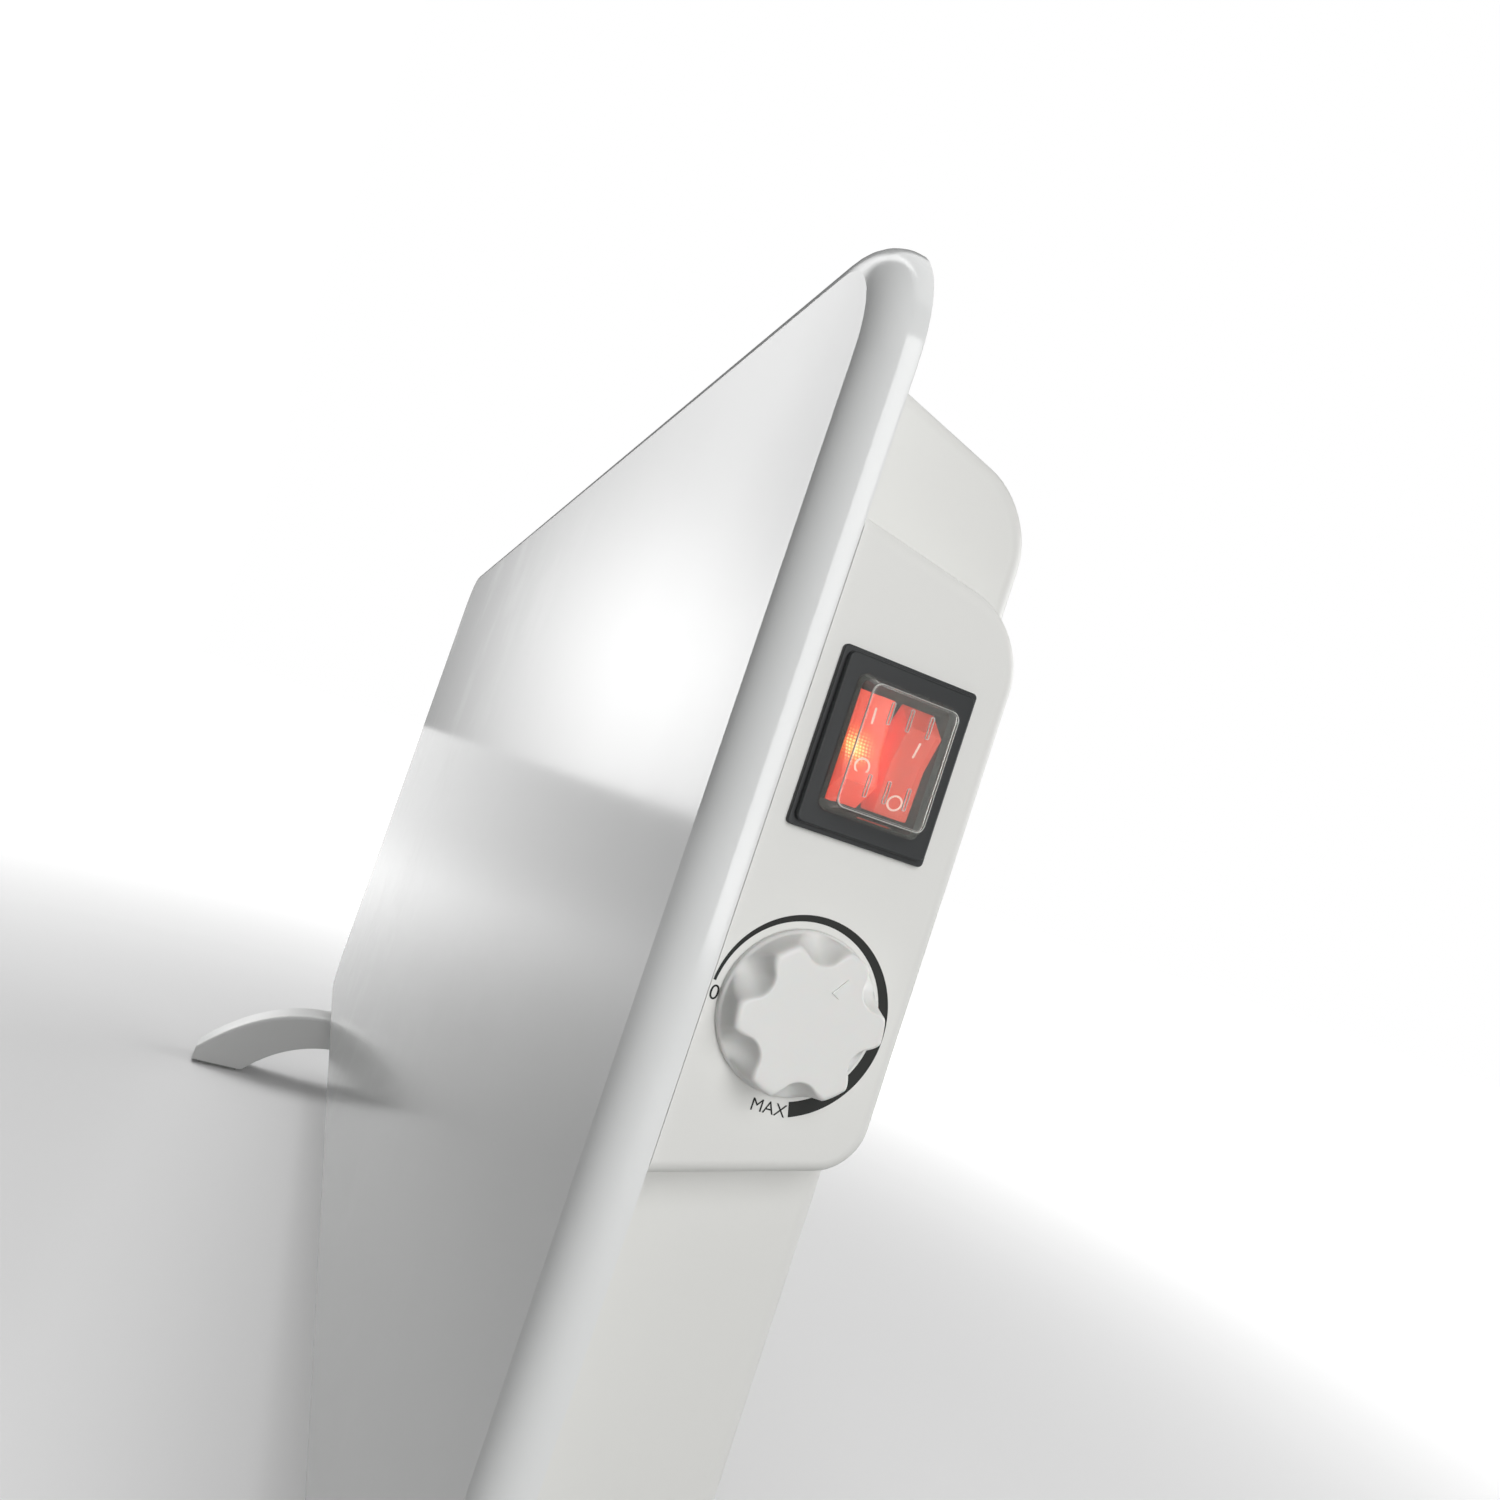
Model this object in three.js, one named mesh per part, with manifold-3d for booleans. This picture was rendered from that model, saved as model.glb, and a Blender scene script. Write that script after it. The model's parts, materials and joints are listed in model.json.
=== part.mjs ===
// A slim oil filled radiator heater: a flat oil core inside a sheet steel casing, with a
// rolled-edge front panel, a control housing on one end and two arched feet.
// Millimetres, +Z up, front of the heater towards -Y, controls on the +X end.
// The origin is on the floor, below the centre of the whole heater.

import * as THREE from 'three';
import { mergeVertices } from 'three/addons/utils/BufferGeometryUtils.js';
import Module from 'manifold-3d';

const wasm = await Module();
wasm.setup();

// ---------------------------------------------------------------- driving dimensions

const GAP = 0.3; // between pieces that touch on the real heater

const PANEL = { width: 876, height: 391, corner: 30, roll: 11, sheet: 1.2 };
PANEL.centreX = -4.25;
PANEL.bottom = 75;
PANEL.front = -27.7;
PANEL.back = PANEL.front + PANEL.sheet;
PANEL.rim = PANEL.front + PANEL.roll;
PANEL.centreZ = PANEL.bottom + PANEL.height / 2;
PANEL.right = PANEL.centreX + PANEL.width / 2;

const CASING = { endInset: 15.6, rear: 29.4, sheet: 1.2, corner: 15, endRound: 5 };
CASING.front = PANEL.back + GAP;
CASING.edgeBelowPanel = 28.4; // where the slanted top meets the panel
CASING.slope = 0.29;
CASING.length = PANEL.width - 2 * CASING.endInset;
CASING.left = PANEL.centreX - CASING.length / 2;
CASING.right = PANEL.centreX + CASING.length / 2;

const SLOT = { count: 26, pitch: 28, width: 8, length: 22, y: -2 };

const HOUSING = { face: 432.75, wall: 2.4, edge: 3.5, rear: 28.4, corner: 15, lowCorner: 9 };
HOUSING.front = PANEL.rim + GAP;
HOUSING.top = 399.2;
HOUSING.topSlope = 0.173;
HOUSING.bottom = 260.8;
HOUSING.bottomSlope = 0.22;
HOUSING.inner = HOUSING.face - HOUSING.wall;

const END_WINDOW = { y: 4, z: 331.5, width: 34, height: 113, corner: 6 };

const SWITCH = { y: 3.5, z: 354 };
SWITCH.flange = { width: 31.7, height: 38, thick: 1, corner: 3 };
SWITCH.plate = { width: 29.8, height: 35.9, top: HOUSING.face + 3, corner: 2.5 };
SWITCH.sleeve = { width: 24.5, height: 31, corner: 2, inner: 420 };
SWITCH.mouth = { width: 20.2, height: 25.8, corner: 1 };
SWITCH.dome = { width: 23.5, height: 28.8, corner: 4, shoulder: 1.7, rise: 4, wall: 0.8 };
SWITCH.dome.top = HOUSING.face + 8;
SWITCH.bodyBack = 400;

const ROCKER = { width: 8.9, spacing: 9.7, half: 11.5, valley: 3, end: 5, pivotX: 432.3 };
ROCKER.tilt = THREE.MathUtils.degToRad(10);
ROCKER.pin = { radius: 1.3, hole: 1.65, length: 2.2 };

const KNOB = { y: 2.95, z: 299.4, ring: 17, lobe: 15.8, scallop: 4.3, lobes: 6 };
KNOB.top = HOUSING.face + 9.5;
KNOB.ringTop = HOUSING.face + 2.4;
KNOB.turn = THREE.MathUtils.degToRad(22); // first lobe, clockwise from straight up
KNOB.pointer = { from: 7.5, to: 11.2, halfWidth: 0.75, depth: 0.6 };

const SHAFT = { radius: 3, front: 438.5, back: 412 };
const THERMOSTAT = { size: 26, back: 398, front: 418, bush: 4.5 };

const CORE = { left: -400, right: 372, bottom: 125, top: 415, y: 1, sheet: 1, bulge: 10 };
CORE.margin = 12;
CORE.lands = { count: 8, pitch: 86, width: 36, header: 28 };
CORE.centreX = (CORE.left + CORE.right) / 2;
CORE.centreZ = (CORE.bottom + CORE.top) / 2;

const ELEMENT = { z: 152, radius: 3.4, legSpacing: 11, tip: -330, boss: 10.2 };
const FILLER = { z: 400, radius: 4, hex: 7 };
const SHIELD = { x: 380, thick: 1, bottom: 124, top: 410, front: -25.5, rear: 23 };
const POST = { radius: 5, left: -411, right: 406, low: 138.5, high: 396 };
const BUSH = { x: 396, z: 160, collar: 10, barrel: 7.6, bore: 4.2 };
const TERMINALS = { x: 401, y: 12, z: 208, width: 18, depth: 16, height: 36 };

const FOOT = { offset: 410, width: 30, reach: 115.5, wall: 3, sole: 2.5 };
FOOT.crown = 59.5;
FOOT.shoulder = 72; // where the line from the tip would meet the height of the crown
FOOT.archTop = 36;
FOOT.archShoulder = 46;
FOOT.archHalf = 76;
FOOT.tipFlat = 12;
const PAD = { length: 30, width: 22, thick: 2.2, y: 95 };
const BRACKET = { width: 18, front: -16, rear: 20, wall: 2.5 };

const WIRES = { radius: 1.1, grommet: { y: 14, z: 250 } };

// ---------------------------------------------------------------- materials

function finish(color, roughness, metalness = 0) {
  return new THREE.MeshStandardMaterial({ color, roughness, metalness });
}

const PANEL_PAINT = finish(0xeceeec, 0.18);
const CASING_PAINT = finish(0xdcdcd8, 0.45);
const HOUSING_PLASTIC = finish(0xdcdcd8, 0.5);
const KNOB_PLASTIC = finish(0xe0e0dc, 0.45);
const BLACK_PLASTIC = finish(0x2f3231, 0.5);
const CLEAR_RUBBER = finish(0xdfe6e2, 0.1);
const ROCKER_RED = finish(0xe0452c, 0.25);
const LAMP_GLASS = finish(0xf5a050, 0.1);
const BARE_STEEL = finish(0x9a9c9c, 0.45, 1);
const CORE_STEEL = finish(0x5d6062, 0.55, 1);
const BRASS = finish(0xb9974d, 0.35, 1);
const FOOT_PAINT = finish(0xdcdcd8, 0.4);
const PAD_RUBBER = finish(0xb4b6b4, 0.8);
const WIRE_BROWN = finish(0x6b3f22, 0.6);
const WIRE_BLUE = finish(0x2d4f8e, 0.6);

// Each wire follows points chosen by hand, from one terminal to the next.
WIRES.runs = [
  {
    name: 'wire_supply_to_switch',
    material: WIRE_BROWN,
    points: [[396, 12, 226.6], [392, 14, 255], [383.5, 14, 295], [383.5, -6, 328], [390.2, -1.35, 347]],
  },
  {
    name: 'wire_switch_to_thermostat',
    material: WIRE_BROWN,
    points: [[390.2, 8.35, 347], [387, 9, 338], [386, 5, 320], [388.2, 2.95, 306.4]],
  },
  {
    name: 'wire_supply_to_element',
    material: WIRE_BLUE,
    points: [[401, 12, 189.4], [405, 9, 178], [409, 3, 167], [405, 1, 157.5]],
  },
];

// ---------------------------------------------------------------- solids and booleans

// A closed three.js geometry becomes a solid that can be joined and cut.
function solid(geometry) {
  const bare = geometry.clone();
  bare.deleteAttribute('normal');
  bare.deleteAttribute('uv');
  const merged = mergeVertices(bare, 1e-4);
  const vertProperties = new Float32Array(merged.attributes.position.array);
  const triVerts = new Uint32Array(merged.index.array);
  return new wasm.Manifold(new wasm.Mesh({ numProp: 3, vertProperties, triVerts }));
}

function toGeometry(shape) {
  const mesh = shape.getMesh();
  const geometry = new THREE.BufferGeometry();
  geometry.setAttribute('position', new THREE.BufferAttribute(mesh.vertProperties, 3));
  geometry.setIndex(new THREE.BufferAttribute(mesh.triVerts, 1));
  geometry.computeVertexNormals();
  return geometry;
}

const heater = new THREE.Group();

function addPart(name, shape, material) {
  const mesh = new THREE.Mesh(toGeometry(shape), material);
  mesh.name = name;
  heater.add(mesh);
}

// ---------------------------------------------------------------- outlines

function roundedRect(cu, cv, width, height, radius) {
  const [u0, u1] = [cu - width / 2, cu + width / 2];
  const [v0, v1] = [cv - height / 2, cv + height / 2];
  const shape = new THREE.Shape();
  shape.moveTo(u0 + radius, v0);
  shape.lineTo(u1 - radius, v0);
  shape.absarc(u1 - radius, v0 + radius, radius, -Math.PI / 2, 0);
  shape.lineTo(u1, v1 - radius);
  shape.absarc(u1 - radius, v1 - radius, radius, 0, Math.PI / 2);
  shape.lineTo(u0 + radius, v1);
  shape.absarc(u0 + radius, v1 - radius, radius, Math.PI / 2, Math.PI);
  shape.lineTo(u0, v0 + radius);
  shape.absarc(u0 + radius, v0 + radius, radius, Math.PI, 1.5 * Math.PI);
  return shape;
}

function polygon(points) {
  return new THREE.Shape(points.map(([u, v]) => new THREE.Vector2(u, v)));
}

// Corners are [u, v, radius]; each one with a radius is turned by a smooth curve.
function roundedPolygon(corners) {
  const shape = new THREE.Shape();
  corners.forEach(([u, v, radius], index) => {
    const here = new THREE.Vector2(u, v);
    const [pu, pv] = corners[(index + corners.length - 1) % corners.length];
    const [nu, nv] = corners[(index + 1) % corners.length];
    const enter = new THREE.Vector2(pu, pv).sub(here).setLength(radius).add(here);
    const leave = new THREE.Vector2(nu, nv).sub(here).setLength(radius).add(here);
    if (index === 0) {
      shape.moveTo(enter.x, enter.y);
    } else {
      shape.lineTo(enter.x, enter.y);
    }
    if (radius > 0) {
      shape.quadraticCurveTo(u, v, leave.x, leave.y);
    }
  });
  shape.closePath();
  return shape;
}

// ---------------------------------------------------------------- extrusions

// The rounding takes in both ends of the extrusion, and the outline stays its full size.
function extrude(shape, length, { round = 0, rise = round, segments = 4, curve = 2 } = {}) {
  return new THREE.ExtrudeGeometry(shape, {
    depth: length - 2 * rise,
    curveSegments: curve,
    bevelEnabled: round > 0,
    bevelSize: round,
    bevelThickness: rise,
    bevelOffset: -round,
    bevelSegments: segments,
  }).translate(0, 0, round > 0 ? rise : 0);
}

const Y_TO_X = new THREE.Matrix4().set(0, 0, 1, 0, 1, 0, 0, 0, 0, 1, 0, 0, 0, 0, 0, 1);

// The outline is drawn in (y, z) and runs from x0 to x1.
function alongX(shape, x0, x1, options) {
  return solid(extrude(shape, x1 - x0, options).applyMatrix4(Y_TO_X).translate(x0, 0, 0));
}

// The outline is drawn in (x, z) and runs from y0 to y1.
function alongY(shape, y0, y1, options) {
  const upright = extrude(shape, y1 - y0, options).rotateX(Math.PI / 2);
  return solid(upright.translate(0, y1, 0));
}

// The outline is drawn in (x, y) and runs from z0 to z1.
function alongZ(shape, z0, z1, options) {
  return solid(extrude(shape, z1 - z0, options).translate(0, 0, z0));
}

function box(x0, x1, y0, y1, z0, z1) {
  const block = new THREE.BoxGeometry(x1 - x0, y1 - y0, z1 - z0);
  return solid(block.translate((x0 + x1) / 2, (y0 + y1) / 2, (z0 + z1) / 2));
}

function cylinderX(y, z, radius, x0, x1, sides = 16) {
  const bar = new THREE.CylinderGeometry(radius, radius, x1 - x0, sides).rotateZ(-Math.PI / 2);
  return solid(bar.translate((x0 + x1) / 2, y, z));
}

function cylinderY(x, z, radius, y0, y1, sides = 16) {
  const bar = new THREE.CylinderGeometry(radius, radius, y1 - y0, sides);
  return solid(bar.translate(x, (y0 + y1) / 2, z));
}

function cylinderZ(x, y, radius, z0, z1, sides = 16) {
  const bar = new THREE.CylinderGeometry(radius, radius, z1 - z0, sides).rotateX(Math.PI / 2);
  return solid(bar.translate(x, y, (z0 + z1) / 2));
}

// A path that visits its stations in equal steps, mitred where it turns.
class StationPath extends THREE.Curve {
  constructor(stations) {
    super();
    this.stations = stations;
  }

  getPointAt(u) {
    return this.stations[Math.round(u * (this.stations.length - 1))].clone();
  }

  getTangentAt(u) {
    const last = this.stations.length - 1;
    const here = Math.round(u * last);
    const [before, point, after] = [Math.max(here - 1, 0), here, Math.min(here + 1, last)]
      .map((index) => this.stations[index]);
    const arriving = point.clone().sub(before).normalize();
    const leaving = after.clone().sub(point).normalize();
    return arriving.add(leaving).normalize();
  }
}

function tubeAlong(path, radius, steps) {
  const section = new THREE.Shape().absarc(0, 0, radius, 0, 2 * Math.PI);
  return solid(new THREE.ExtrudeGeometry(
    section, { extrudePath: path, steps, curveSegments: 4 }));
}

// ---------------------------------------------------------------- front panel and casing

function panelForm(inset) {
  const { width, height, corner, roll, centreX, centreZ, front } = PANEL;
  const outline = roundedRect(
    centreX, centreZ, width - 2 * inset, height - 2 * inset, corner - inset);
  const round = roll - inset;
  return alongY(outline, front + inset, front + inset + 3 * roll, { round, curve: 4 });
}

function buildFrontPanel() {
  const { width, rim } = PANEL;
  const behindRim = box(-width, width, rim, rim + 60, 0, 600);
  addPart('front_panel', panelForm(0).subtract(panelForm(PANEL.sheet)).subtract(behindRim),
    PANEL_PAINT);
}

// The casing's section falls away towards the rear at its top, and rises at its bottom.
function casingForm(inset) {
  const { rear, slope, corner, edgeBelowPanel, endRound } = CASING;
  const front = PANEL.front - 10;
  const fall = (rear - PANEL.back) * slope;
  const rise = (PANEL.back - front) * slope;
  const top = PANEL.bottom + PANEL.height - edgeBelowPanel - inset;
  const bottom = PANEL.bottom + edgeBelowPanel + inset;
  const section = roundedPolygon([
    [front, bottom - rise, 0],
    [rear - inset, bottom + fall, corner - inset],
    [rear - inset, top - fall, corner - inset],
    [front, top + rise, 0],
  ]);
  return alongX(section, CASING.left + inset, CASING.right - inset,
    { round: endRound - inset, segments: 3, curve: 4 });
}

function ventSlots(z0, z1) {
  const first = PANEL.centreX - ((SLOT.count - 1) / 2) * SLOT.pitch;
  const slots = Array.from({ length: SLOT.count }, (_, index) => {
    const x = first + index * SLOT.pitch;
    return box(x - SLOT.width / 2, x + SLOT.width / 2,
      SLOT.y - SLOT.length / 2, SLOT.y + SLOT.length / 2, z0, z1);
  });
  return slots.reduce((all, slot) => all.add(slot));
}

function postPlaces() {
  const { left, right, low, high } = POST;
  return [[left, low], [left, high], [right, low], [right, high]];
}

function buildRearCasing() {
  const reach = 2 * PANEL.width;
  let casing = casingForm(0).subtract(casingForm(CASING.sheet));
  casing = casing.subtract(box(-reach, reach, -reach, CASING.front, 0, 600));
  casing = casing.subtract(ventSlots(420, 445)).subtract(ventSlots(95, 118));
  const { y, z, width, height, corner } = END_WINDOW;
  const window = roundedRect(y, z, width, height, corner);
  casing = casing.subtract(alongX(window, CASING.right - 10, CASING.right + 10));
  casing = casing.subtract(cylinderY(BUSH.x, BUSH.z, BUSH.barrel + GAP, 20, 35));
  for (const [x, zPost] of postPlaces()) {
    casing = casing.subtract(cylinderY(x, zPost, 2.4, 20, 35, 8));
  }
  for (const zScrew of housingScrewHeights()) {
    const screwY = END_WINDOW.y;
    casing = casing.subtract(cylinderX(screwY, zScrew, 2.4, CASING.right - 10, 430, 8));
  }
  for (const x of footCentres()) {
    casing = casing.subtract(cylinderZ(x, 2, 3.4, 95, 125, 8));
  }
  addPart('rear_casing', casing, CASING_PAINT);
}

function buildPanelPosts() {
  postPlaces().forEach(([x, z], index) => {
    const rear = CASING.rear - CASING.sheet - GAP;
    const bore = cylinderY(x, z, 2.3, rear - 12, rear + 1, 8);
    const post = cylinderY(x, z, POST.radius, PANEL.back + GAP, rear, 12).subtract(bore);
    addPart(`panel_post_${index + 1}`, post, BARE_STEEL);
    const head = cylinderY(x, z, 4, CASING.rear + GAP, CASING.rear + 2.5, 12);
    const shank = cylinderY(x, z, 1.9, rear - 10, CASING.rear + 1, 8);
    addPart(`casing_screw_${index + 1}`, head.add(shank), BARE_STEEL);
  });
}

// ---------------------------------------------------------------- control housing

function housingForm(inset) {
  const { front, rear, top, topSlope, bottom, bottomSlope, corner, lowCorner } = HOUSING;
  const { face, edge } = HOUSING;
  const depth = rear - front;
  const outline = roundedPolygon([
    [front + inset, bottom + inset, 0],
    [rear - inset, bottom + bottomSlope * depth + inset, lowCorner - inset],
    [rear - inset, top - topSlope * depth - inset, corner - inset],
    [front + inset, top - inset, 0],
  ]);
  const rounding = { round: edge - inset / 2, segments: 3, curve: 4 };
  return alongX(outline, face - 40, face - inset, rounding);
}

function housingScrewHeights() {
  return [HOUSING.bottom + 10.5, HOUSING.top - 8.5];
}

function buildControlHousing() {
  const { face, wall } = HOUSING;
  let housing = housingForm(0).subtract(housingForm(wall));
  housing = housing.subtract(box(0, CASING.right + GAP, -60, 60, 200, 450));
  const hole = roundedRect(
    SWITCH.y, SWITCH.z, SWITCH.sleeve.width + 0.8, SWITCH.sleeve.height + 0.8, 2.4);
  housing = housing.subtract(alongX(hole, face - 10, face + 5));
  housing = housing.subtract(
    cylinderX(KNOB.y, KNOB.z, THERMOSTAT.bush + GAP, face - 10, face + 5));
  for (const z of housingScrewHeights()) {
    const boss = cylinderX(END_WINDOW.y, z, 4.2, CASING.right + GAP, face - 1, 12);
    const bore = cylinderX(END_WINDOW.y, z, 2.2, CASING.right - 1, face - 3, 8);
    housing = housing.add(boss).subtract(bore);
  }
  addPart('control_housing', housing, HOUSING_PLASTIC);
}

function buildHousingScrews() {
  housingScrewHeights().forEach((z, index) => {
    const wallInside = CASING.right - CASING.sheet;
    const head = cylinderX(END_WINDOW.y, z, 3.8, wallInside - 2.8, wallInside - GAP, 12);
    const shank = cylinderX(END_WINDOW.y, z, 1.8, wallInside - 1, HOUSING.face - 5, 8);
    addPart(`housing_screw_${index + 1}`, head.add(shank), BARE_STEEL);
  });
}

// ---------------------------------------------------------------- rocker switch

function switchOutline({ width, height, corner }) {
  return roundedRect(SWITCH.y, SWITCH.z, width, height, corner);
}

function buildBezel() {
  const { flange, plate, sleeve, mouth } = SWITCH;
  const base = HOUSING.face + GAP;
  let bezel = alongX(switchOutline(flange), base, base + flange.thick);
  bezel = bezel.add(alongX(switchOutline(plate), base, plate.top, { round: 0.5, segments: 1 }));
  bezel = bezel.add(alongX(switchOutline(sleeve), sleeve.inner, plate.top - 1));
  bezel = bezel.subtract(alongX(switchOutline(mouth), sleeve.inner - 5, plate.top + 5));
  const reach = sleeve.width;
  bezel = bezel.subtract(cylinderY(
    ROCKER.pivotX, SWITCH.z, ROCKER.pin.hole, SWITCH.y - reach, SWITCH.y + reach, 12));
  addPart('rocker_bezel', bezel, BLACK_PLASTIC);
}

function domeForm(inset) {
  const { width, height, corner, shoulder, rise, top } = SWITCH.dome;
  const outline = roundedRect(
    SWITCH.y, SWITCH.z, width - 2 * inset, height - 2 * inset, corner - inset);
  return alongX(outline, top - 14 - inset, top - inset, { round: shoulder, rise, segments: 3, curve: 3 });
}

function buildClearCover() {
  const { plate, dome } = SWITCH;
  const below = box(0, plate.top + GAP, -60, 60, 200, 450);
  addPart('switch_clear_cover', domeForm(0).subtract(domeForm(dome.wall)).subtract(below),
    CLEAR_RUBBER);
}

function buildSwitchBody() {
  const { sleeve, bodyBack } = SWITCH;
  const body = alongX(switchOutline(sleeve), bodyBack, sleeve.inner - GAP, { curve: 2 });
  addPart('switch_body', body, BLACK_PLASTIC);
  for (const [side, name] of [[-1, 'front'], [1, 'rear']]) {
    const y = SWITCH.y + (side * ROCKER.spacing) / 2;
    addPart(`neon_lamp_${name}`, cylinderZ(sleeve.inner + 2, y, 1.6, SWITCH.z - 4,
      SWITCH.z + 4, 8), LAMP_GLASS);
    for (const [offset, level] of [[-7, 'low'], [7, 'high']]) {
      const z = SWITCH.z + offset;
      addPart(`switch_tab_${name}_${level}`,
        box(bodyBack - 8, bodyBack - GAP, y - 0.4, y + 0.4, z - 3.15, z + 3.15), BRASS);
    }
  }
}

// A rocker seen from its side: a shallow valley on top, turning about its pin.
function rockerOutline() {
  const { half, valley, end } = ROCKER;
  return polygon([
    [valley, 0],
    [end, half],
    [-2, half + 0.4],
    [-5.5, 5],
    [-5.5, -5],
    [-2, -half - 0.4],
    [end, -half],
  ].map(([x, z]) => [x, -z]));
}

function buildRocker(name, side, tilt) {
  const { width, spacing, pivotX, pin } = ROCKER;
  const outerFace = (side * width) / 2;
  const pinEnds = [outerFace - side, outerFace + side * pin.length].sort((a, b) => a - b);
  const rocker = alongY(rockerOutline(), -width / 2, width / 2);
  const geometry = toGeometry(rocker.add(cylinderY(0, 0, pin.radius, ...pinEnds, 12)));
  geometry.rotateY(tilt);
  geometry.translate(pivotX, SWITCH.y + (side * spacing) / 2, SWITCH.z);
  addPart(name, solid(geometry), ROCKER_RED);
}

// ---------------------------------------------------------------- thermostat and knob

function lobedOutline() {
  const { y, z, lobe, scallop, lobes, turn } = KNOB;
  const steps = lobes * 10;
  const points = Array.from({ length: steps }, (_, index) => {
    const angle = (-2 * Math.PI * index) / steps;
    const wave = (0.5 - 0.5 * Math.cos(lobes * (angle - turn))) ** 1.4;
    const radius = lobe - scallop * wave;
    return [y + radius * Math.sin(angle), z + radius * Math.cos(angle)];
  });
  return polygon(points);
}

function pointerPrism() {
  const { y, z, turn, pointer, top } = KNOB;
  const point = (along, across) => [
    y + along * Math.sin(turn) + across * Math.cos(turn),
    z + along * Math.cos(turn) - across * Math.sin(turn),
  ];
  const outline = polygon([
    point(pointer.from, pointer.halfWidth),
    point(pointer.to, 0),
    point(pointer.from, -pointer.halfWidth),
  ]);
  return alongX(outline, top - pointer.depth, top + 1);
}

function buildKnob() {
  const { y, z, ring, ringTop, top } = KNOB;
  const base = HOUSING.face + GAP;
  let knob = cylinderX(y, z, ring, base, ringTop, 36);
  knob = knob.add(alongX(lobedOutline(), base, top, { round: 1.6, segments: 2 }));
  knob = knob.subtract(cylinderX(y, z, 10, base - 1, base + 3.4, 24));
  knob = knob.subtract(cylinderX(y, z, SHAFT.radius + GAP, base - 1, SHAFT.front + GAP, 12));
  knob = knob.subtract(pointerPrism());
  addPart('thermostat_knob', knob, KNOB_PLASTIC);
  addPart('thermostat_shaft', cylinderX(y, z, SHAFT.radius, SHAFT.back, SHAFT.front, 12), BRASS);
}

function buildThermostat() {
  const { size, back, front, bush } = THERMOSTAT;
  const { y, z } = KNOB;
  const half = size / 2;
  let body = box(back, front, y - half, y + half, z - half, z + half);
  body = body.add(cylinderX(y, z, bush, front - 1, HOUSING.face + 2.2, 16));
  const bore = cylinderX(y, z, SHAFT.radius + GAP, SHAFT.back - GAP, HOUSING.face + 4, 12);
  addPart('thermostat_body', body.subtract(bore), BLACK_PLASTIC);
  const nutFrom = HOUSING.face + GAP;
  const nut = cylinderX(y, z, 8, nutFrom, nutFrom + 1.8, 6);
  addPart('thermostat_nut', nut.subtract(cylinderX(y, z, bush + GAP, nutFrom - 1, nutFrom + 4)),
    BARE_STEEL);
  for (const [offset, name] of [[-7, 'low'], [7, 'high']]) {
    addPart(`thermostat_tab_${name}`, box(back - 8, back - GAP, y - 0.4, y + 0.4,
      z + offset - 3.15, z + offset + 3.15), BRASS);
  }
}

// ---------------------------------------------------------------- oil core and heating

function coreBulgeOutline(inset) {
  const { left, right, bottom, top, margin, lands, centreX, centreZ } = CORE;
  const width = right - left - 2 * margin - 2 * inset;
  const height = top - bottom - 2 * margin - 2 * inset;
  const outline = roundedRect(centreX, centreZ, width, height, 14 - inset);
  const landHeight = height - 2 * lands.header + 4 * inset;
  for (let index = 0; index < lands.count; index += 1) {
    const x = centreX + (index - (lands.count - 1) / 2) * lands.pitch;
    outline.holes.push(roundedRect(x, centreZ, lands.width + 2 * inset, landHeight, 10));
  }
  return outline;
}

// One pressed half of the core: a flat rim with the oil channels raised from it.
function buildCoreShell(name, side) {
  const { left, right, bottom, top, y, sheet, bulge, centreX, centreZ } = CORE;
  const span = (from, to) => [y + side * from, y + side * to].sort((a, b) => a - b);
  const rim = roundedRect(centreX, centreZ, right - left, top - bottom, 10);
  const form = { round: 4, segments: 1, curve: 1 };
  const raised = alongY(coreBulgeOutline(0), ...span(-bulge, bulge), form);
  const hollow = alongY(coreBulgeOutline(sheet), ...span(-bulge, bulge - sheet), form);
  const flatRim = alongY(rim, ...span(GAP / 2, sheet + GAP / 2), { curve: 2 });
  let shell = flatRim.add(raised).subtract(hollow);
  shell = shell.subtract(box(-600, 600, ...span(-30, GAP / 2), 0, 600));
  shell = shell.subtract(cylinderX(y, ELEMENT.z, ELEMENT.boss + GAP, right - 30, right + 5, 16));
  shell = shell.subtract(cylinderX(y, FILLER.z, FILLER.radius + GAP, right - 30, right + 5, 12));
  addPart(name, shell, CORE_STEEL);
}

function buildCoreBrackets() {
  const rear = CASING.rear - CASING.sheet - GAP;
  const onCore = CORE.y + CORE.sheet + 2 * GAP;
  const heights = [CORE.bottom + 70, CORE.top - 70];
  const ends = [[CORE.left, 1, 'left'], [CORE.right, -1, 'right']];
  for (const [x, inward, side] of ends) {
    heights.forEach((z, index) => {
      const at = (distance) => x + inward * distance;
      const outline = [
        [at(1), onCore], [at(9), onCore], [at(9), onCore + 1.5], [at(-3), onCore + 1.5],
        [at(-3), rear], [at(-13), rear], [at(-13), rear - 1.5], [at(-4.5), rear - 1.5],
        [at(-4.5), onCore],
      ];
      const level = index === 0 ? 'low' : 'high';
      addPart(`core_bracket_${side}_${level}`, alongZ(polygon(outline), z - 12, z + 12),
        BARE_STEEL);
    });
  }
}

function elementRoute() {
  const { z, legSpacing, tip } = ELEMENT;
  const half = legSpacing / 2;
  const end = CORE.right + 22;
  const bend = Array.from({ length: 7 }, (_, index) => {
    const angle = (index * Math.PI) / 6;
    return new THREE.Vector3(tip - half * Math.sin(angle), CORE.y, z + half * Math.cos(angle));
  });
  const upper = new THREE.Vector3(end, CORE.y, z + half);
  const lower = new THREE.Vector3(end, CORE.y, z - half);
  return [upper, ...bend, lower];
}

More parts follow.
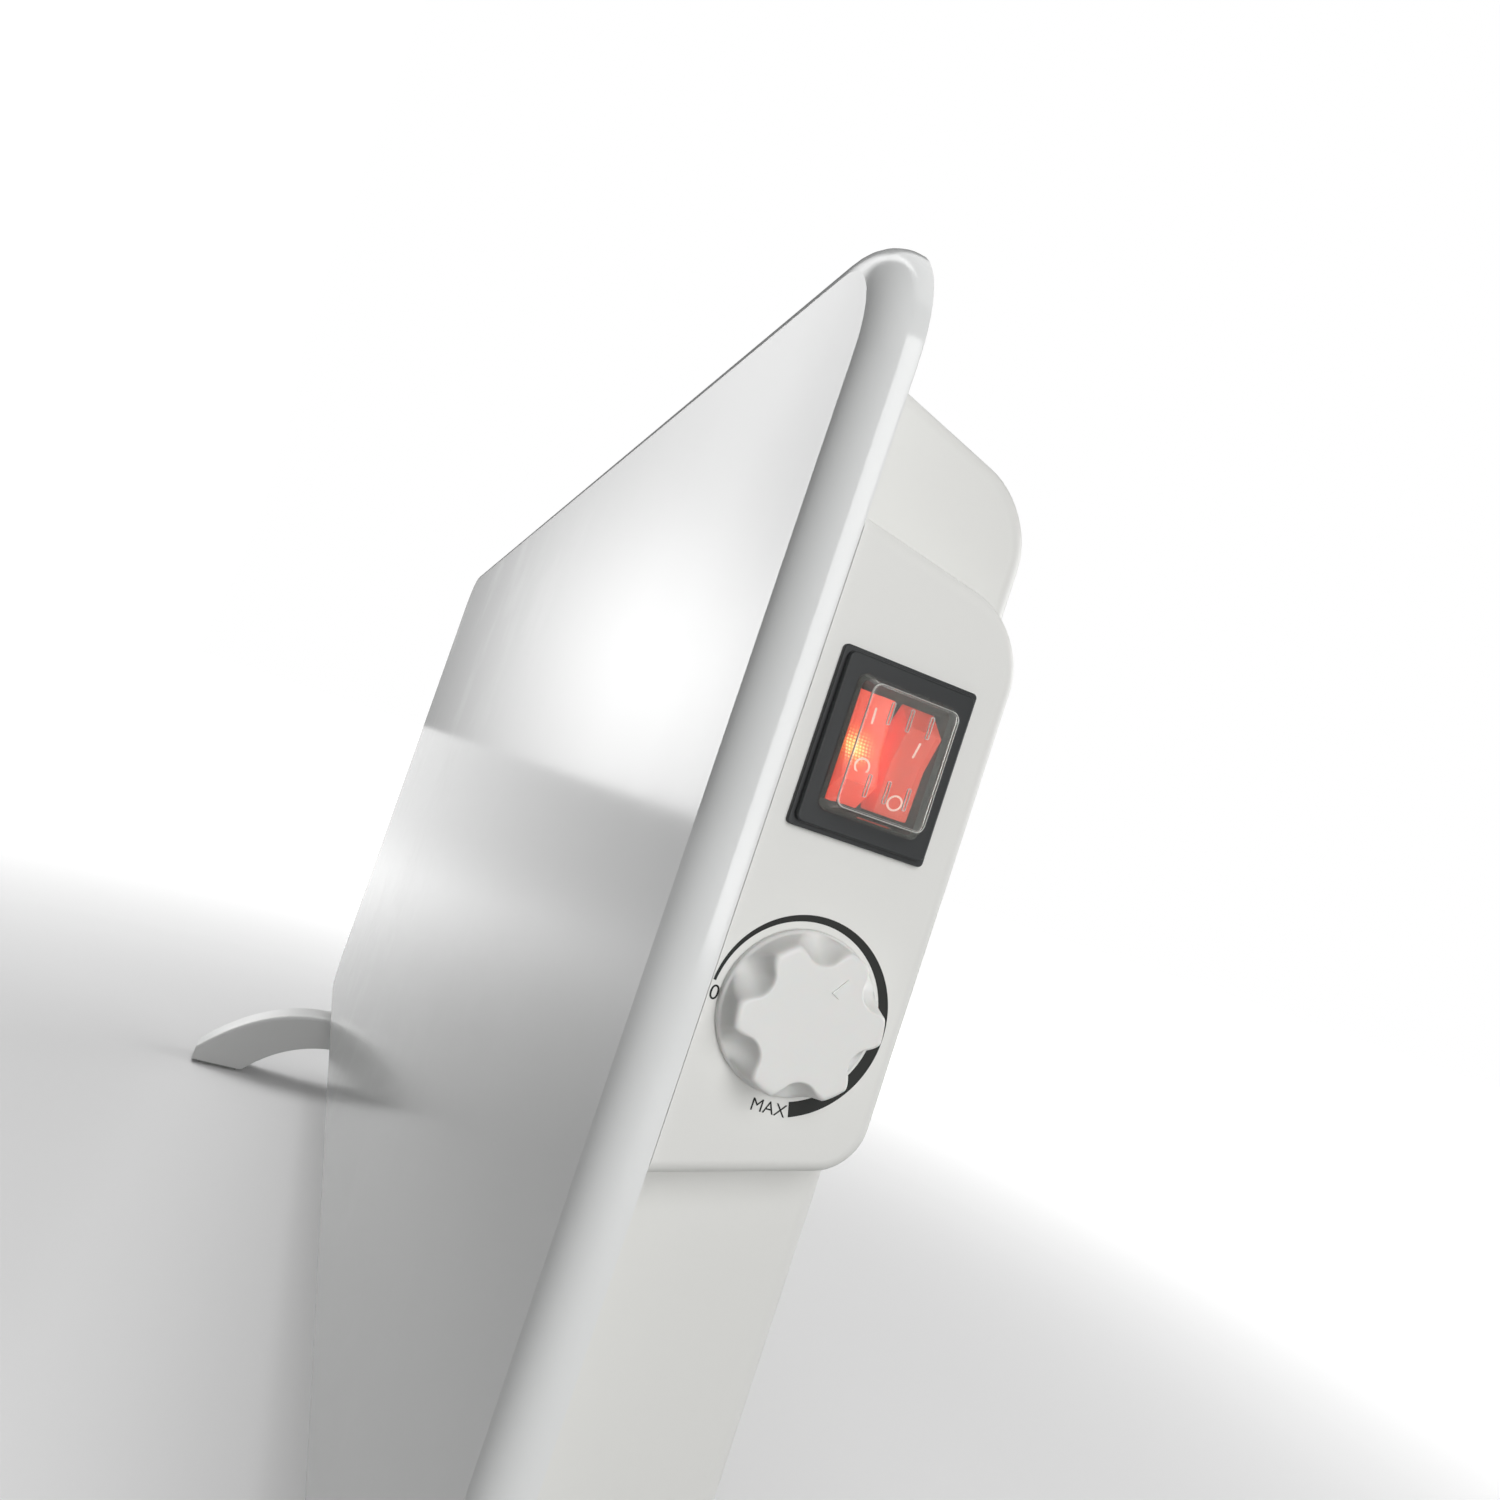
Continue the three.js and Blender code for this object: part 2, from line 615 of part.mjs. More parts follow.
function buildHeatingElement() {
  const { z, radius, legSpacing, boss } = ELEMENT;
  const { y, right } = CORE;
  const bossEnd = right + 15;
  const tube = cylinderX(y, z, boss, right - 10, bossEnd);
  addPart('element_boss', tube.subtract(cylinderX(y, z, boss - 1, right - 20, bossEnd + 1)),
    BARE_STEEL);

  const route = elementRoute();
  addPart('heating_element', tubeAlong(new StationPath(route), radius, route.length - 1),
    BARE_STEEL);

  let flange = cylinderX(y, z, 14, bossEnd + GAP, bossEnd + 3.3, 24);
  flange = flange.add(cylinderX(y, z, 11.5, bossEnd + 2, bossEnd + 6, 6));
  ['low', 'high'].forEach((level, index) => {
    const legZ = z + (index - 0.5) * legSpacing;
    flange = flange.subtract(cylinderX(y, legZ, radius + GAP, bossEnd - 1, bossEnd + 8, 12));
    addPart(`element_pin_${level}`, cylinderX(y, legZ, 1.3, right + 22.3, right + 31, 8), BRASS);
  });
  addPart('element_flange', flange, BRASS);
}

function buildFillerPlug() {
  const { z, radius, hex } = FILLER;
  const { y, right } = CORE;
  const neck = cylinderX(y, z, radius, right - 8, right + 2, 12);
  addPart('filler_plug', neck.add(cylinderX(y, z, hex, right + GAP, right + 5, 6)), BRASS);
}

function buildHeatShield() {
  const { x, thick, bottom, top, front, rear } = SHIELD;
  let shield = box(x, x + thick, front, rear, bottom, top);
  shield = shield.subtract(cylinderX(CORE.y, ELEMENT.z, ELEMENT.boss + 1.5, x - 5, x + 5));
  shield = shield.subtract(cylinderX(WIRES.grommet.y, WIRES.grommet.z, 4, x - 5, x + 5, 12));
  addPart('heat_shield', shield, BARE_STEEL);
}

function buildThermalCutout() {
  const x = CORE.right - 27;
  const z = CORE.top - CORE.margin - CORE.lands.header / 2 + 2;
  const face = CORE.y + CORE.bulge + GAP;
  const disc = cylinderY(x, z, 8, face, face + 6, 20);
  const tabs = box(x - 11.5, x + 11.5, face + 3, face + 4, z - 3, z + 3);
  addPart('thermal_cutout', disc.add(tabs), BLACK_PLASTIC);
}

function buildSupplyEntry() {
  const { x, y, z, width, depth, height } = TERMINALS;
  addPart('terminal_block', box(x - width / 2, x + width / 2, y - depth / 2, y + depth / 2,
    z - height / 2, z + height / 2), BLACK_PLASTIC);

  const inside = CASING.rear - CASING.sheet - GAP;
  let bush = cylinderY(BUSH.x, BUSH.z, BUSH.barrel, inside - 6, CASING.rear + 2, 20);
  bush = bush.add(cylinderY(BUSH.x, BUSH.z, BUSH.collar, CASING.rear + GAP, CASING.rear + 5, 20));
  bush = bush.add(cylinderY(BUSH.x, BUSH.z, BUSH.collar, inside - 4, inside, 20));
  addPart('cord_bush', bush.subtract(cylinderY(BUSH.x, BUSH.z, BUSH.bore, 0, 60)),
    BLACK_PLASTIC);
}

function buildWires() {
  const { radius, runs } = WIRES;
  for (const { name, points, material } of runs) {
    const path = new THREE.CatmullRomCurve3(points.map((p) => new THREE.Vector3(...p)));
    addPart(name, tubeAlong(path, radius, 12), material);
  }
}

// ---------------------------------------------------------------- feet

function footCentres() {
  return [PANEL.centreX - FOOT.offset, PANEL.centreX + FOOT.offset];
}

// The foot's upper line sweeps up from each tip to a flat crown.
function footUpper(lowered) {
  const { reach, crown, shoulder, tipFlat } = FOOT;
  const shape = new THREE.Shape();
  shape.moveTo(-reach, -20);
  shape.lineTo(-reach, tipFlat - lowered);
  shape.quadraticCurveTo(-shoulder, crown - lowered, -20, crown - lowered);
  shape.lineTo(20, crown - lowered);
  shape.quadraticCurveTo(shoulder, crown - lowered, reach, tipFlat - lowered);
  shape.lineTo(reach, -20);
  return shape;
}

function footArch() {
  const { archHalf, archTop, archShoulder, sole } = FOOT;
  const shape = new THREE.Shape();
  shape.moveTo(-archHalf, -30);
  shape.lineTo(-archHalf, sole);
  shape.quadraticCurveTo(-archShoulder, archTop, 0, archTop);
  shape.quadraticCurveTo(archShoulder, archTop, archHalf, sole);
  shape.lineTo(archHalf, -30);
  return shape;
}

function buildFoot(x, name) {
  const { width, wall, archHalf, crown, sole } = FOOT;
  const [x0, x1] = [x - width / 2, x + width / 2];
  const curve = { curve: 8 };
  let cavity = alongX(footUpper(wall), x0 + wall, x1 - wall, curve);
  cavity = cavity.intersect(box(x0, x1, 5 - archHalf, archHalf - 5, -10, crown));
  let foot = alongX(footUpper(0), x0, x1, curve).subtract(alongX(footArch(), x0 - 1, x1 + 1, curve));
  foot = foot.subtract(cavity).subtract(box(x0 - 1, x1 + 1, -200, 200, -40, sole));
  foot = foot.subtract(cylinderZ(x, 2, 3.4, crown - 10, crown + 5, 12));
  addPart(`foot_${name}`, foot, FOOT_PAINT);

  for (const [side, end] of [[-1, 'front'], [1, 'rear']]) {
    const y = side * PAD.y;
    addPart(`foot_pad_${name}_${end}`, box(x - PAD.width / 2, x + PAD.width / 2,
      y - PAD.length / 2, y + PAD.length / 2, 0, PAD.thick), PAD_RUBBER);
  }
}

// A short open box section between the foot's crown and the casing's slanted bottom.
function buildFootBracket(x, name) {
  const { width, front, rear, wall } = BRACKET;
  const underside = (y) => (
    PANEL.bottom + CASING.edgeBelowPanel + (y - PANEL.back) * CASING.slope - GAP - 0.1);
  const section = (inset) => {
    const [y0, y1] = [front + inset, rear - inset];
    const base = FOOT.crown + GAP + inset;
    return [[y0, base], [y1, base], [y1, underside(y1) - inset], [y0, underside(y0) - inset]];
  };
  const outline = polygon(section(0));
  outline.holes.push(new THREE.Path(section(wall).map(([u, v]) => new THREE.Vector2(u, v))));
  const bracket = alongX(outline, x - width / 2, x + width / 2);
  const { crown } = FOOT;
  addPart(`foot_bracket_${name}`, bracket.subtract(cylinderZ(x, 2, 3.4, crown - 5, 130, 12)),
    CASING_PAINT);
  const head = cylinderZ(x, 2, 5.5, crown - FOOT.wall - 4.5, crown - FOOT.wall - GAP, 6);
  addPart(`foot_bolt_${name}`, head.add(cylinderZ(x, 2, 3, crown - 5, 119, 10)), BARE_STEEL);
}

// ---------------------------------------------------------------- assembly

buildFrontPanel();
buildRearCasing();
buildPanelPosts();
buildControlHousing();
buildHousingScrews();
buildBezel();
buildClearCover();
buildSwitchBody();
buildRocker('rocker_front', -1, -ROCKER.tilt);
buildRocker('rocker_rear', 1, ROCKER.tilt);
buildKnob();
buildThermostat();
buildCoreShell('core_shell_front', -1);
buildCoreShell('core_shell_rear', 1);
buildCoreBrackets();
buildHeatingElement();
buildFillerPlug();
buildThermalCutout();
buildHeatShield();
buildSupplyEntry();
buildWires();
footCentres().forEach((x, index) => {
  const name = index === 0 ? 'left' : 'right';
  buildFoot(x, name);
  buildFootBracket(x, name);
});

export default heater;
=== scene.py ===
# %% [markdown]
# # A slim oil filled heater
# The heater is a flat oil core in a sheet steel casing, behind one big rolled-edge front panel.
# A moulded control housing closes the right-hand end. It carries a double rocker switch under a
# clear cover and a lobed thermostat knob. Two arched feet hold everything up.
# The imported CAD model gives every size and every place. This script makes the surfaces.

# %% Load the frame
import json
import math

import bmesh
import bpy
from mathutils import Matrix, Vector


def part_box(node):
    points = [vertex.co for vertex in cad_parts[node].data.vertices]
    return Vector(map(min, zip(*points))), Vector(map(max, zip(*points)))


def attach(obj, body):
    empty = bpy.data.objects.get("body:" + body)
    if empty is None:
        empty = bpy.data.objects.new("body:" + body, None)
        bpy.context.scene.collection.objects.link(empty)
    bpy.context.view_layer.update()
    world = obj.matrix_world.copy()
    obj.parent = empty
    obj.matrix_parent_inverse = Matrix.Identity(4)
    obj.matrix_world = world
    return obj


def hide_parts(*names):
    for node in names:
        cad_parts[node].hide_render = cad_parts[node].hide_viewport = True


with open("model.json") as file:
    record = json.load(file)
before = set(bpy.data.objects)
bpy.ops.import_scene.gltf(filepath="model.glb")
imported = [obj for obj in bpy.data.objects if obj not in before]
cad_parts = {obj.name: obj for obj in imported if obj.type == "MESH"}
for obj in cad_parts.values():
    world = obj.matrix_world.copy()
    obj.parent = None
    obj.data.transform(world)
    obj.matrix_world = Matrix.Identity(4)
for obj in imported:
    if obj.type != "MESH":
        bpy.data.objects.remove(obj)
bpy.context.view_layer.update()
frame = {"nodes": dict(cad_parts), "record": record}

MM = 0.001

# %% [markdown]
# ## The camera
# The heater is seen from close by its control end, a little below mid height, with the camera
# rolled over so that the heater leans. A camera is a turned frame of three axes, so its place is
# given as a forward direction from a yaw and a pitch, and then a roll about that direction.

# %% Camera
CAMERA_PLACE = Vector((652, -98.4, 332.7)) * MM
CAMERA_YAW = math.radians(18.74)
CAMERA_PITCH = math.radians(3.32)
CAMERA_ROLL = math.radians(18.66)
CAMERA_LENS = 28.3


def camera_axes(yaw, pitch, roll):
    """The camera's right, up and backward directions."""
    forward = Vector((-math.cos(yaw) * math.cos(pitch), math.sin(yaw) * math.cos(pitch),
                      math.sin(pitch)))
    level_right = forward.cross(Vector((0, 0, 1))).normalized()
    level_up = level_right.cross(forward)
    right = math.cos(roll) * level_right + math.sin(roll) * level_up
    up = math.cos(roll) * level_up - math.sin(roll) * level_right
    return right, up, -forward


def add_object(name, data):
    item = bpy.data.objects.new(name, data)
    bpy.context.scene.collection.objects.link(item)
    return item


def make_camera():
    data = bpy.data.cameras.new("camera")
    data.lens = CAMERA_LENS
    data.sensor_width = 36
    data.clip_start = 0.01
    camera = add_object("camera", data)
    axes = Matrix(camera_axes(CAMERA_YAW, CAMERA_PITCH, CAMERA_ROLL)).transposed().to_4x4()
    camera.matrix_world = Matrix.Translation(CAMERA_PLACE) @ axes
    bpy.context.scene.camera = camera
    return camera


camera = make_camera()
print("camera at", tuple(round(v, 3) for v in camera.location))

# %% [markdown]
# ## Node groups for shared surface effects
# Several finishes need the same small effects: the orange peel of sprayed paint, the fine grain
# of moulded plastic, and faint handling marks. Each effect is one group, built once, and each
# material places it with its own scale and strength. The groups read Object coordinates, so a
# pattern stays on the piece when the piece moves.

# %% Helpers for shader trees
def add_node(tree, kind, **settings):
    node = tree.nodes.new(kind)
    for key, value in settings.items():
        setattr(node, key, value)
    return node


def new_group(name, inputs, outputs):
    """A shader group with float inputs (name, default) and float outputs."""
    group = bpy.data.node_groups.new(name, "ShaderNodeTree")
    for title, default in inputs:
        socket = group.interface.new_socket(title, in_out="INPUT", socket_type="NodeSocketFloat")
        socket.default_value = default
    for title in outputs:
        group.interface.new_socket(title, in_out="OUTPUT", socket_type="NodeSocketFloat")
    entry = add_node(group, "NodeGroupInput")
    leave = add_node(group, "NodeGroupOutput")
    return group, entry, leave


def noise(tree, vector, scale, detail=2.0, roughness=0.5):
    node = add_node(tree, "ShaderNodeTexNoise")
    node.inputs["Detail"].default_value = detail
    node.inputs["Roughness"].default_value = roughness
    tree.links.new(vector, node.inputs["Vector"])
    if isinstance(scale, (int, float)):
        node.inputs["Scale"].default_value = scale
    else:
        tree.links.new(scale, node.inputs["Scale"])
    return node.outputs["Fac"]


def calculate(tree, operation, first, second=None):
    node = add_node(tree, "ShaderNodeMath", operation=operation)
    for socket, value in zip(node.inputs, (first, second)):
        if value is None:
            continue
        if isinstance(value, (int, float)):
            socket.default_value = value
        else:
            tree.links.new(value, socket)
    return node.outputs[0]


def ramp(tree, value, low, high):
    """Maps value from low..high to 0..1, smoothly."""
    node = add_node(tree, "ShaderNodeMapRange", interpolation_type="SMOOTHSTEP")
    node.inputs["From Min"].default_value = low
    node.inputs["From Max"].default_value = high
    tree.links.new(value, node.inputs["Value"])
    return node.outputs["Result"]


# %% Surface effect groups
def build_surface_grain():
    """Two sizes of fine unevenness, for paint and moulded plastic."""
    group, entry, leave = new_group(
        "surface_grain", [("Scale", 900.0), ("Coarse", 0.35)], ["Height", "Tone"])
    place = add_node(group, "ShaderNodeTexCoord").outputs["Object"]
    fine = noise(group, place, entry.outputs["Scale"], detail=3.0)
    wide_scale = calculate(group, "MULTIPLY", entry.outputs["Scale"], 0.13)
    wide = noise(group, place, wide_scale, detail=1.0)
    weighted = calculate(group, "MULTIPLY", wide, entry.outputs["Coarse"])
    group.links.new(calculate(group, "ADD", fine, weighted), leave.inputs["Height"])
    group.links.new(noise(group, place, 9.0, detail=3.0), leave.inputs["Tone"])
    return group


def build_handling_marks():
    """Soft patches where hands dull the gloss, and a fine uneven veil of dust."""
    group, entry, leave = new_group("handling_marks", [("Amount", 0.5)], ["Mask"])
    place = add_node(group, "ShaderNodeTexCoord").outputs["Object"]
    patches = ramp(group, noise(group, place, 14.0, detail=4.0, roughness=0.6), 0.48, 0.72)
    dust = ramp(group, noise(group, place, 260.0, detail=2.0), 0.55, 0.8)
    both = calculate(group, "MAXIMUM", patches, calculate(group, "MULTIPLY", dust, 0.3))
    mask = calculate(group, "MULTIPLY", both, entry.outputs["Amount"])
    group.links.new(mask, leave.inputs["Mask"])
    return group


def build_drawn_lines():
    """The fine parallel lines of drawn or turned metal."""
    group, entry, leave = new_group("drawn_lines", [("Scale", 1.0)], ["Height", "Tone"])
    place = add_node(group, "ShaderNodeTexCoord").outputs["Object"]
    stretch = add_node(group, "ShaderNodeMapping")
    stretch.inputs["Scale"].default_value = (60.0, 900.0, 2200.0)
    group.links.new(place, stretch.inputs["Vector"])
    lines = noise(group, stretch.outputs["Vector"], entry.outputs["Scale"], detail=2.0)
    group.links.new(lines, leave.inputs["Height"])
    group.links.new(noise(group, place, 55.0, detail=3.0), leave.inputs["Tone"])
    return group


GRAIN = build_surface_grain()
MARKS = build_handling_marks()
DRAWN = build_drawn_lines()
print("effect groups:", GRAIN.name, MARKS.name, DRAWN.name)

# %% [markdown]
# ## Materials
# Every finish is a Principled shader. Its colour moves between two close tones, its roughness is
# lifted a little by the handling marks, and its grain goes through a Bump node. What differs
# from one finish to the next is only numbers, so one function makes them all.

# %% One recipe for opaque finishes
def place_group(tree, group, **values):
    node = add_node(tree, "ShaderNodeGroup", node_tree=group)
    for title, value in values.items():
        node.inputs[title].default_value = value
    return node


def new_material(name):
    """A fresh material, its node tree and its Principled shader."""
    material = bpy.data.materials.new(name)
    material.use_nodes = True
    return material, material.node_tree, material.node_tree.nodes["Principled BSDF"]


def two_tones(tree, shader, share, light, dark):
    """Lets the colour move between two close tones."""
    tone = add_node(tree, "ShaderNodeMix", data_type="RGBA")
    tone.inputs["A"].default_value = (*light, 1)
    tone.inputs["B"].default_value = (*dark, 1)
    tree.links.new(share, tone.inputs["Factor"])
    tree.links.new(tone.outputs["Result"], shader.inputs["Base Color"])


def worn_gloss(tree, shader, amount, clean, worn):
    """Lets the handling marks lift the roughness from clean to worn."""
    rub = place_group(tree, MARKS, Amount=amount)
    gloss = add_node(tree, "ShaderNodeMapRange")
    gloss.inputs["To Min"].default_value = clean
    gloss.inputs["To Max"].default_value = worn
    tree.links.new(rub.outputs["Mask"], gloss.inputs["Value"])
    tree.links.new(gloss.outputs["Result"], shader.inputs["Roughness"])


def finish(name, light, dark, roughness, worn, grain=GRAIN, scale=900.0, bump=0.02, marks=0.5,
           depth=0.00002, **constants):
    """A material between two tones, with grain, and roughness from clean to worn."""
    material, tree, shader = new_material(name)
    effect = place_group(tree, grain, Scale=scale)
    two_tones(tree, shader, effect.outputs["Tone"], light, dark)
    worn_gloss(tree, shader, marks, roughness, worn)
    relief = add_node(tree, "ShaderNodeBump")
    relief.inputs["Strength"].default_value = bump
    relief.inputs["Distance"].default_value = depth
    tree.links.new(effect.outputs["Height"], relief.inputs["Height"])
    tree.links.new(relief.outputs["Normal"], shader.inputs["Normal"])
    for title, value in constants.items():
        shader.inputs[title.replace("_", " ")].default_value = value
    return material


# %% Painted and moulded finishes
panel_paint = finish(
    "panel_paint", (0.80, 0.81, 0.805), (0.775, 0.785, 0.78), 0.13, 0.19, scale=60.0, bump=0.01,
    marks=0.35)
casing_paint = finish(
    "casing_paint", (0.77, 0.77, 0.745), (0.74, 0.74, 0.715), 0.42, 0.5, scale=420.0, bump=0.25)
foot_paint = finish(
    "foot_paint", (0.78, 0.785, 0.775), (0.75, 0.755, 0.745), 0.36, 0.45, scale=420.0, bump=0.22)
housing_plastic = finish(
    "housing_plastic", (0.775, 0.775, 0.75), (0.75, 0.75, 0.725), 0.46, 0.54, scale=1500.0,
    bump=0.3)
knob_plastic = finish(
    "knob_plastic", (0.80, 0.80, 0.78), (0.775, 0.775, 0.755), 0.4, 0.5, scale=1500.0, bump=0.25,
    Subsurface_Weight=0.08, Subsurface_Scale=0.002)
black_plastic = finish(
    "black_plastic", (0.015, 0.017, 0.018), (0.011, 0.0125, 0.0135), 0.48, 0.6, scale=2400.0,
    bump=0.5, Specular_IOR_Level=0.4)
print_ink = finish(
    "print_ink", (0.022, 0.023, 0.021), (0.018, 0.019, 0.018), 0.7, 0.8, scale=3000.0, bump=0.3,
    Specular_IOR_Level=0.3)
pad_rubber = finish(
    "pad_rubber", (0.47, 0.48, 0.47), (0.4, 0.41, 0.4), 0.8, 0.9, scale=1800.0, bump=0.6)
core_primer = finish(
    "core_primer", (0.16, 0.165, 0.17), (0.11, 0.115, 0.12), 0.5, 0.65, scale=500.0, bump=0.4)
wire_brown = finish("wire_brown", (0.2, 0.09, 0.04), (0.16, 0.07, 0.03), 0.4, 0.5, scale=1200.0)
wire_blue = finish("wire_blue", (0.05, 0.1, 0.35), (0.04, 0.08, 0.28), 0.4, 0.5, scale=1200.0)

# %% Metals
zinc_steel = finish(
    "zinc_steel", (0.62, 0.63, 0.64), (0.5, 0.51, 0.52), 0.3, 0.45, grain=DRAWN, scale=1.0,
    bump=0.3, Metallic=1.0)
brass_metal = finish(
    "brass_metal", (0.78, 0.6, 0.3), (0.66, 0.48, 0.22), 0.28, 0.42, grain=DRAWN, scale=1.0,
    bump=0.25, Metallic=1.0)

# %% [markdown]
# ## Clear and glowing finishes
# The cover over the rockers is clear and flexible: a glass-like shader with a slightly uneven
# gloss. The rockers are red and let light through. The one that is on glows from a small lamp
# inside, strongest in the middle and cut into dots by the lens pattern behind its face, so its
# emission colour falls off with the distance from the lamp. The one that is off is given a steady
# faint red glow as well, which is painted light.

# %% Clear cover
def build_clear(name, transmission):
    material, tree, shader = new_material(name)
    shader.inputs["Base Color"].default_value = (0.86, 0.88, 0.84, 1)
    shader.inputs["Transmission Weight"].default_value = transmission
    shader.inputs["IOR"].default_value = 1.41
    worn_gloss(tree, shader, 0.6, 0.02, 0.09)
    return material


clear_cover = build_clear("clear_cover", 0.91)
# A whiter, less clear copy of the cover's finish, for the rim and the ribs: a painted highlight.
clear_edge_painted_highlight = build_clear("clear_edge_painted_highlight", 0.3)

# %% Rocker red, lit by its lamp or given a painted glow
SWITCH_LOW, SWITCH_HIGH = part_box("rocker_bezel")
SWITCH_MIDDLE = (SWITCH_LOW + SWITCH_HIGH) / 2


def distance_from(tree, point):
    coordinates = add_node(tree, "ShaderNodeTexCoord").outputs["Object"]
    node = add_node(tree, "ShaderNodeVectorMath", operation="DISTANCE")
    tree.links.new(coordinates, node.inputs[0])
    node.inputs[1].default_value = point
    return node.outputs["Value"]


def lens_dots(tree, pitch):
    """1 on a square grid of round dots, 0 between them."""
    coordinates = add_node(tree, "ShaderNodeTexCoord").outputs["Object"]
    flat = add_node(tree, "ShaderNodeVectorMath", operation="MULTIPLY")
    tree.links.new(coordinates, flat.inputs[0])
    flat.inputs[1].default_value = (0, 1, 1)
    grid = add_node(tree, "ShaderNodeTexVoronoi", voronoi_dimensions="3D")
    grid.inputs["Randomness"].default_value = 0.0
    grid.inputs["Scale"].default_value = 1.0 / pitch
    tree.links.new(flat.outputs["Vector"], grid.inputs["Vector"])
    return ramp(tree, grid.outputs["Distance"], 0.45, 0.2)


LENS_PITCH = 0.0007  # metres between two dots
GLOW_REACH = 0.006  # metres over which the lamp's glow dies away


def build_rocker_red(name, glow, strength):
    material, tree, shader = new_material(name)
    effect = place_group(tree, GRAIN, Scale=700.0)
    two_tones(tree, shader, effect.outputs["Tone"], (0.95, 0.15, 0.085), (0.88, 0.11, 0.065))
    shader.inputs["Roughness"].default_value = 0.22
    shader.inputs["Transmission Weight"].default_value = 0.25
    shader.inputs["Subsurface Weight"].default_value = 0.35
    shader.inputs["Subsurface Scale"].default_value = 0.004
    shader.inputs["Subsurface Radius"].default_value = (1.0, 0.25, 0.1)
    far = distance_from(tree, glow)
    ramp_node = add_node(tree, "ShaderNodeValToRGB")
    reach = calculate(tree, "MULTIPLY", far, 1.0 / GLOW_REACH)
    colours = ramp_node.color_ramp
    colours.elements[0].position = 0.0
    colours.elements[0].color = (1.0, 0.78, 0.16, 1)
    colours.elements[1].position = 1.0
    colours.elements[1].color = (0.85, 0.1, 0.055, 1)
    warm = colours.elements.new(0.45)
    warm.color = (0.9, 0.16, 0.02, 1)
    tree.links.new(reach, ramp_node.inputs["Fac"])
    near = ramp(tree, far, 0.005, 0.002)
    dots = calculate(tree, "MULTIPLY", lens_dots(tree, LENS_PITCH), near)
    lit = add_node(tree, "ShaderNodeMix", data_type="RGBA")
    lit.inputs["B"].default_value = (1.0, 0.85, 0.35, 1)
    tree.links.new(dots, lit.inputs["Factor"])
    tree.links.new(ramp_node.outputs["Color"], lit.inputs["A"])
    tree.links.new(lit.outputs["Result"], shader.inputs["Emission Color"])
    bright = calculate(tree, "MULTIPLY", ramp(tree, far, 0.0035, 0.0005), 1.3)
    lifted = calculate(tree, "ADD", calculate(tree, "ADD", dots, bright), 1.0)
    level = calculate(tree, "MULTIPLY", lifted, strength)
    tree.links.new(level, shader.inputs["Emission Strength"])
    return material


def glow_colour(material, colour):
    """The one colour that a finish gives off."""
    shader = material.node_tree.nodes["Principled BSDF"]
    shader.inputs["Emission Color"].default_value = (*colour, 1)


FRONT_GLOW = Vector((SWITCH_HIGH.x, SWITCH_MIDDLE.y - 7.4 * MM, SWITCH_MIDDLE.z - 0.2 * MM))
rocker_lit = build_rocker_red("rocker_lit", FRONT_GLOW, 0.5)
# The rocker that is off gives off a steady faint red glow too: painted light that brightens its
# red.
rocker_off_painted_glow = build_rocker_red("rocker_off_painted_glow", FRONT_GLOW, 0.27)
lamp_glass = finish("lamp_glass", (0.95, 0.6, 0.3), (0.9, 0.5, 0.2), 0.1, 0.2,
                    Transmission_Weight=0.6, Emission_Strength=1.5)
glow_colour(lamp_glass, (1.0, 0.4, 0.1))

# %% [markdown]
# ## Helpers for making pieces
# A piece starts as a flat outline in a bmesh, is pulled to a depth, and has its edges softened.
# These few helpers wrap the bmesh operators that nearly every piece uses. Each finished piece
# gets its material and the body that it rides on, and hides the CAD node that it stands for.

# %% Outline, pull and soften
def outline(bm, corners, radii=0.0, segments=8):
    """A flat face through the corners, with each corner turned to its radius."""
    verts = [bm.verts.new(corner) for corner in corners]
    bm.faces.new(verts)
    if isinstance(radii, (int, float)):
        radii = [radii] * len(verts)
    for vert, radius in zip(verts, radii):
        if radius > 0:
            bmesh.ops.bevel(bm, geom=[vert], offset=radius, offset_type="OFFSET",
                            segments=segments, profile=0.5, affect="VERTICES", material=-1)
    bm.faces.ensure_lookup_table()
    return bm.faces[-1]


def verts_in(items):
    return [item for item in items if isinstance(item, bmesh.types.BMVert)]


def pull(bm, faces, vector):
    """Extrudes faces along vector and returns the moved faces."""
    made = bmesh.ops.extrude_face_region(bm, geom=list(faces))["geom"]
    bmesh.ops.translate(bm, verts=verts_in(made), vec=vector)
    return [item for item in made if isinstance(item, bmesh.types.BMFace)]


def soften(bm, edges, radius, segments=4):
    bmesh.ops.bevel(bm, geom=list(edges), offset=radius, offset_type="OFFSET", segments=segments,
                    profile=0.5, affect="EDGES", material=-1, clamp_overlap=True)


def edges_at(bm, axis, value, tolerance=1e-6):
    """The edges whose two ends both lie at that value on an axis."""
    return [edge for edge in bm.edges
            if all(abs(vert.co[axis] - value) < tolerance for vert in edge.verts)]


def faces_at(bm, axis, value, tolerance=1e-6):
    return [face for face in bm.faces
            if all(abs(vert.co[axis] - value) < tolerance for vert in face.verts)]


# %% Rounded blocks
def rectangle(axis, level, low, high):
    """Four corners at a level on one axis; low and high are the two other coordinates."""
    (a0, b0), (a1, b1) = low, high
    corners = [[a0, b0], [a1, b0], [a1, b1], [a0, b1]]
    for corner in corners:
        corner.insert(axis, level)
    return [Vector(corner) for corner in corners]


def rounded_block(bm, axis, start, end, low, high, corner=0.0, segments=6):
    """A block along an axis, with its long corners rounded. Returns its end face."""
    face = outline(bm, rectangle(axis, start, low, high), corner, segments)
    vector = Vector((0, 0, 0))
    vector[axis] = end - start
    return pull(bm, [face], vector)[0]


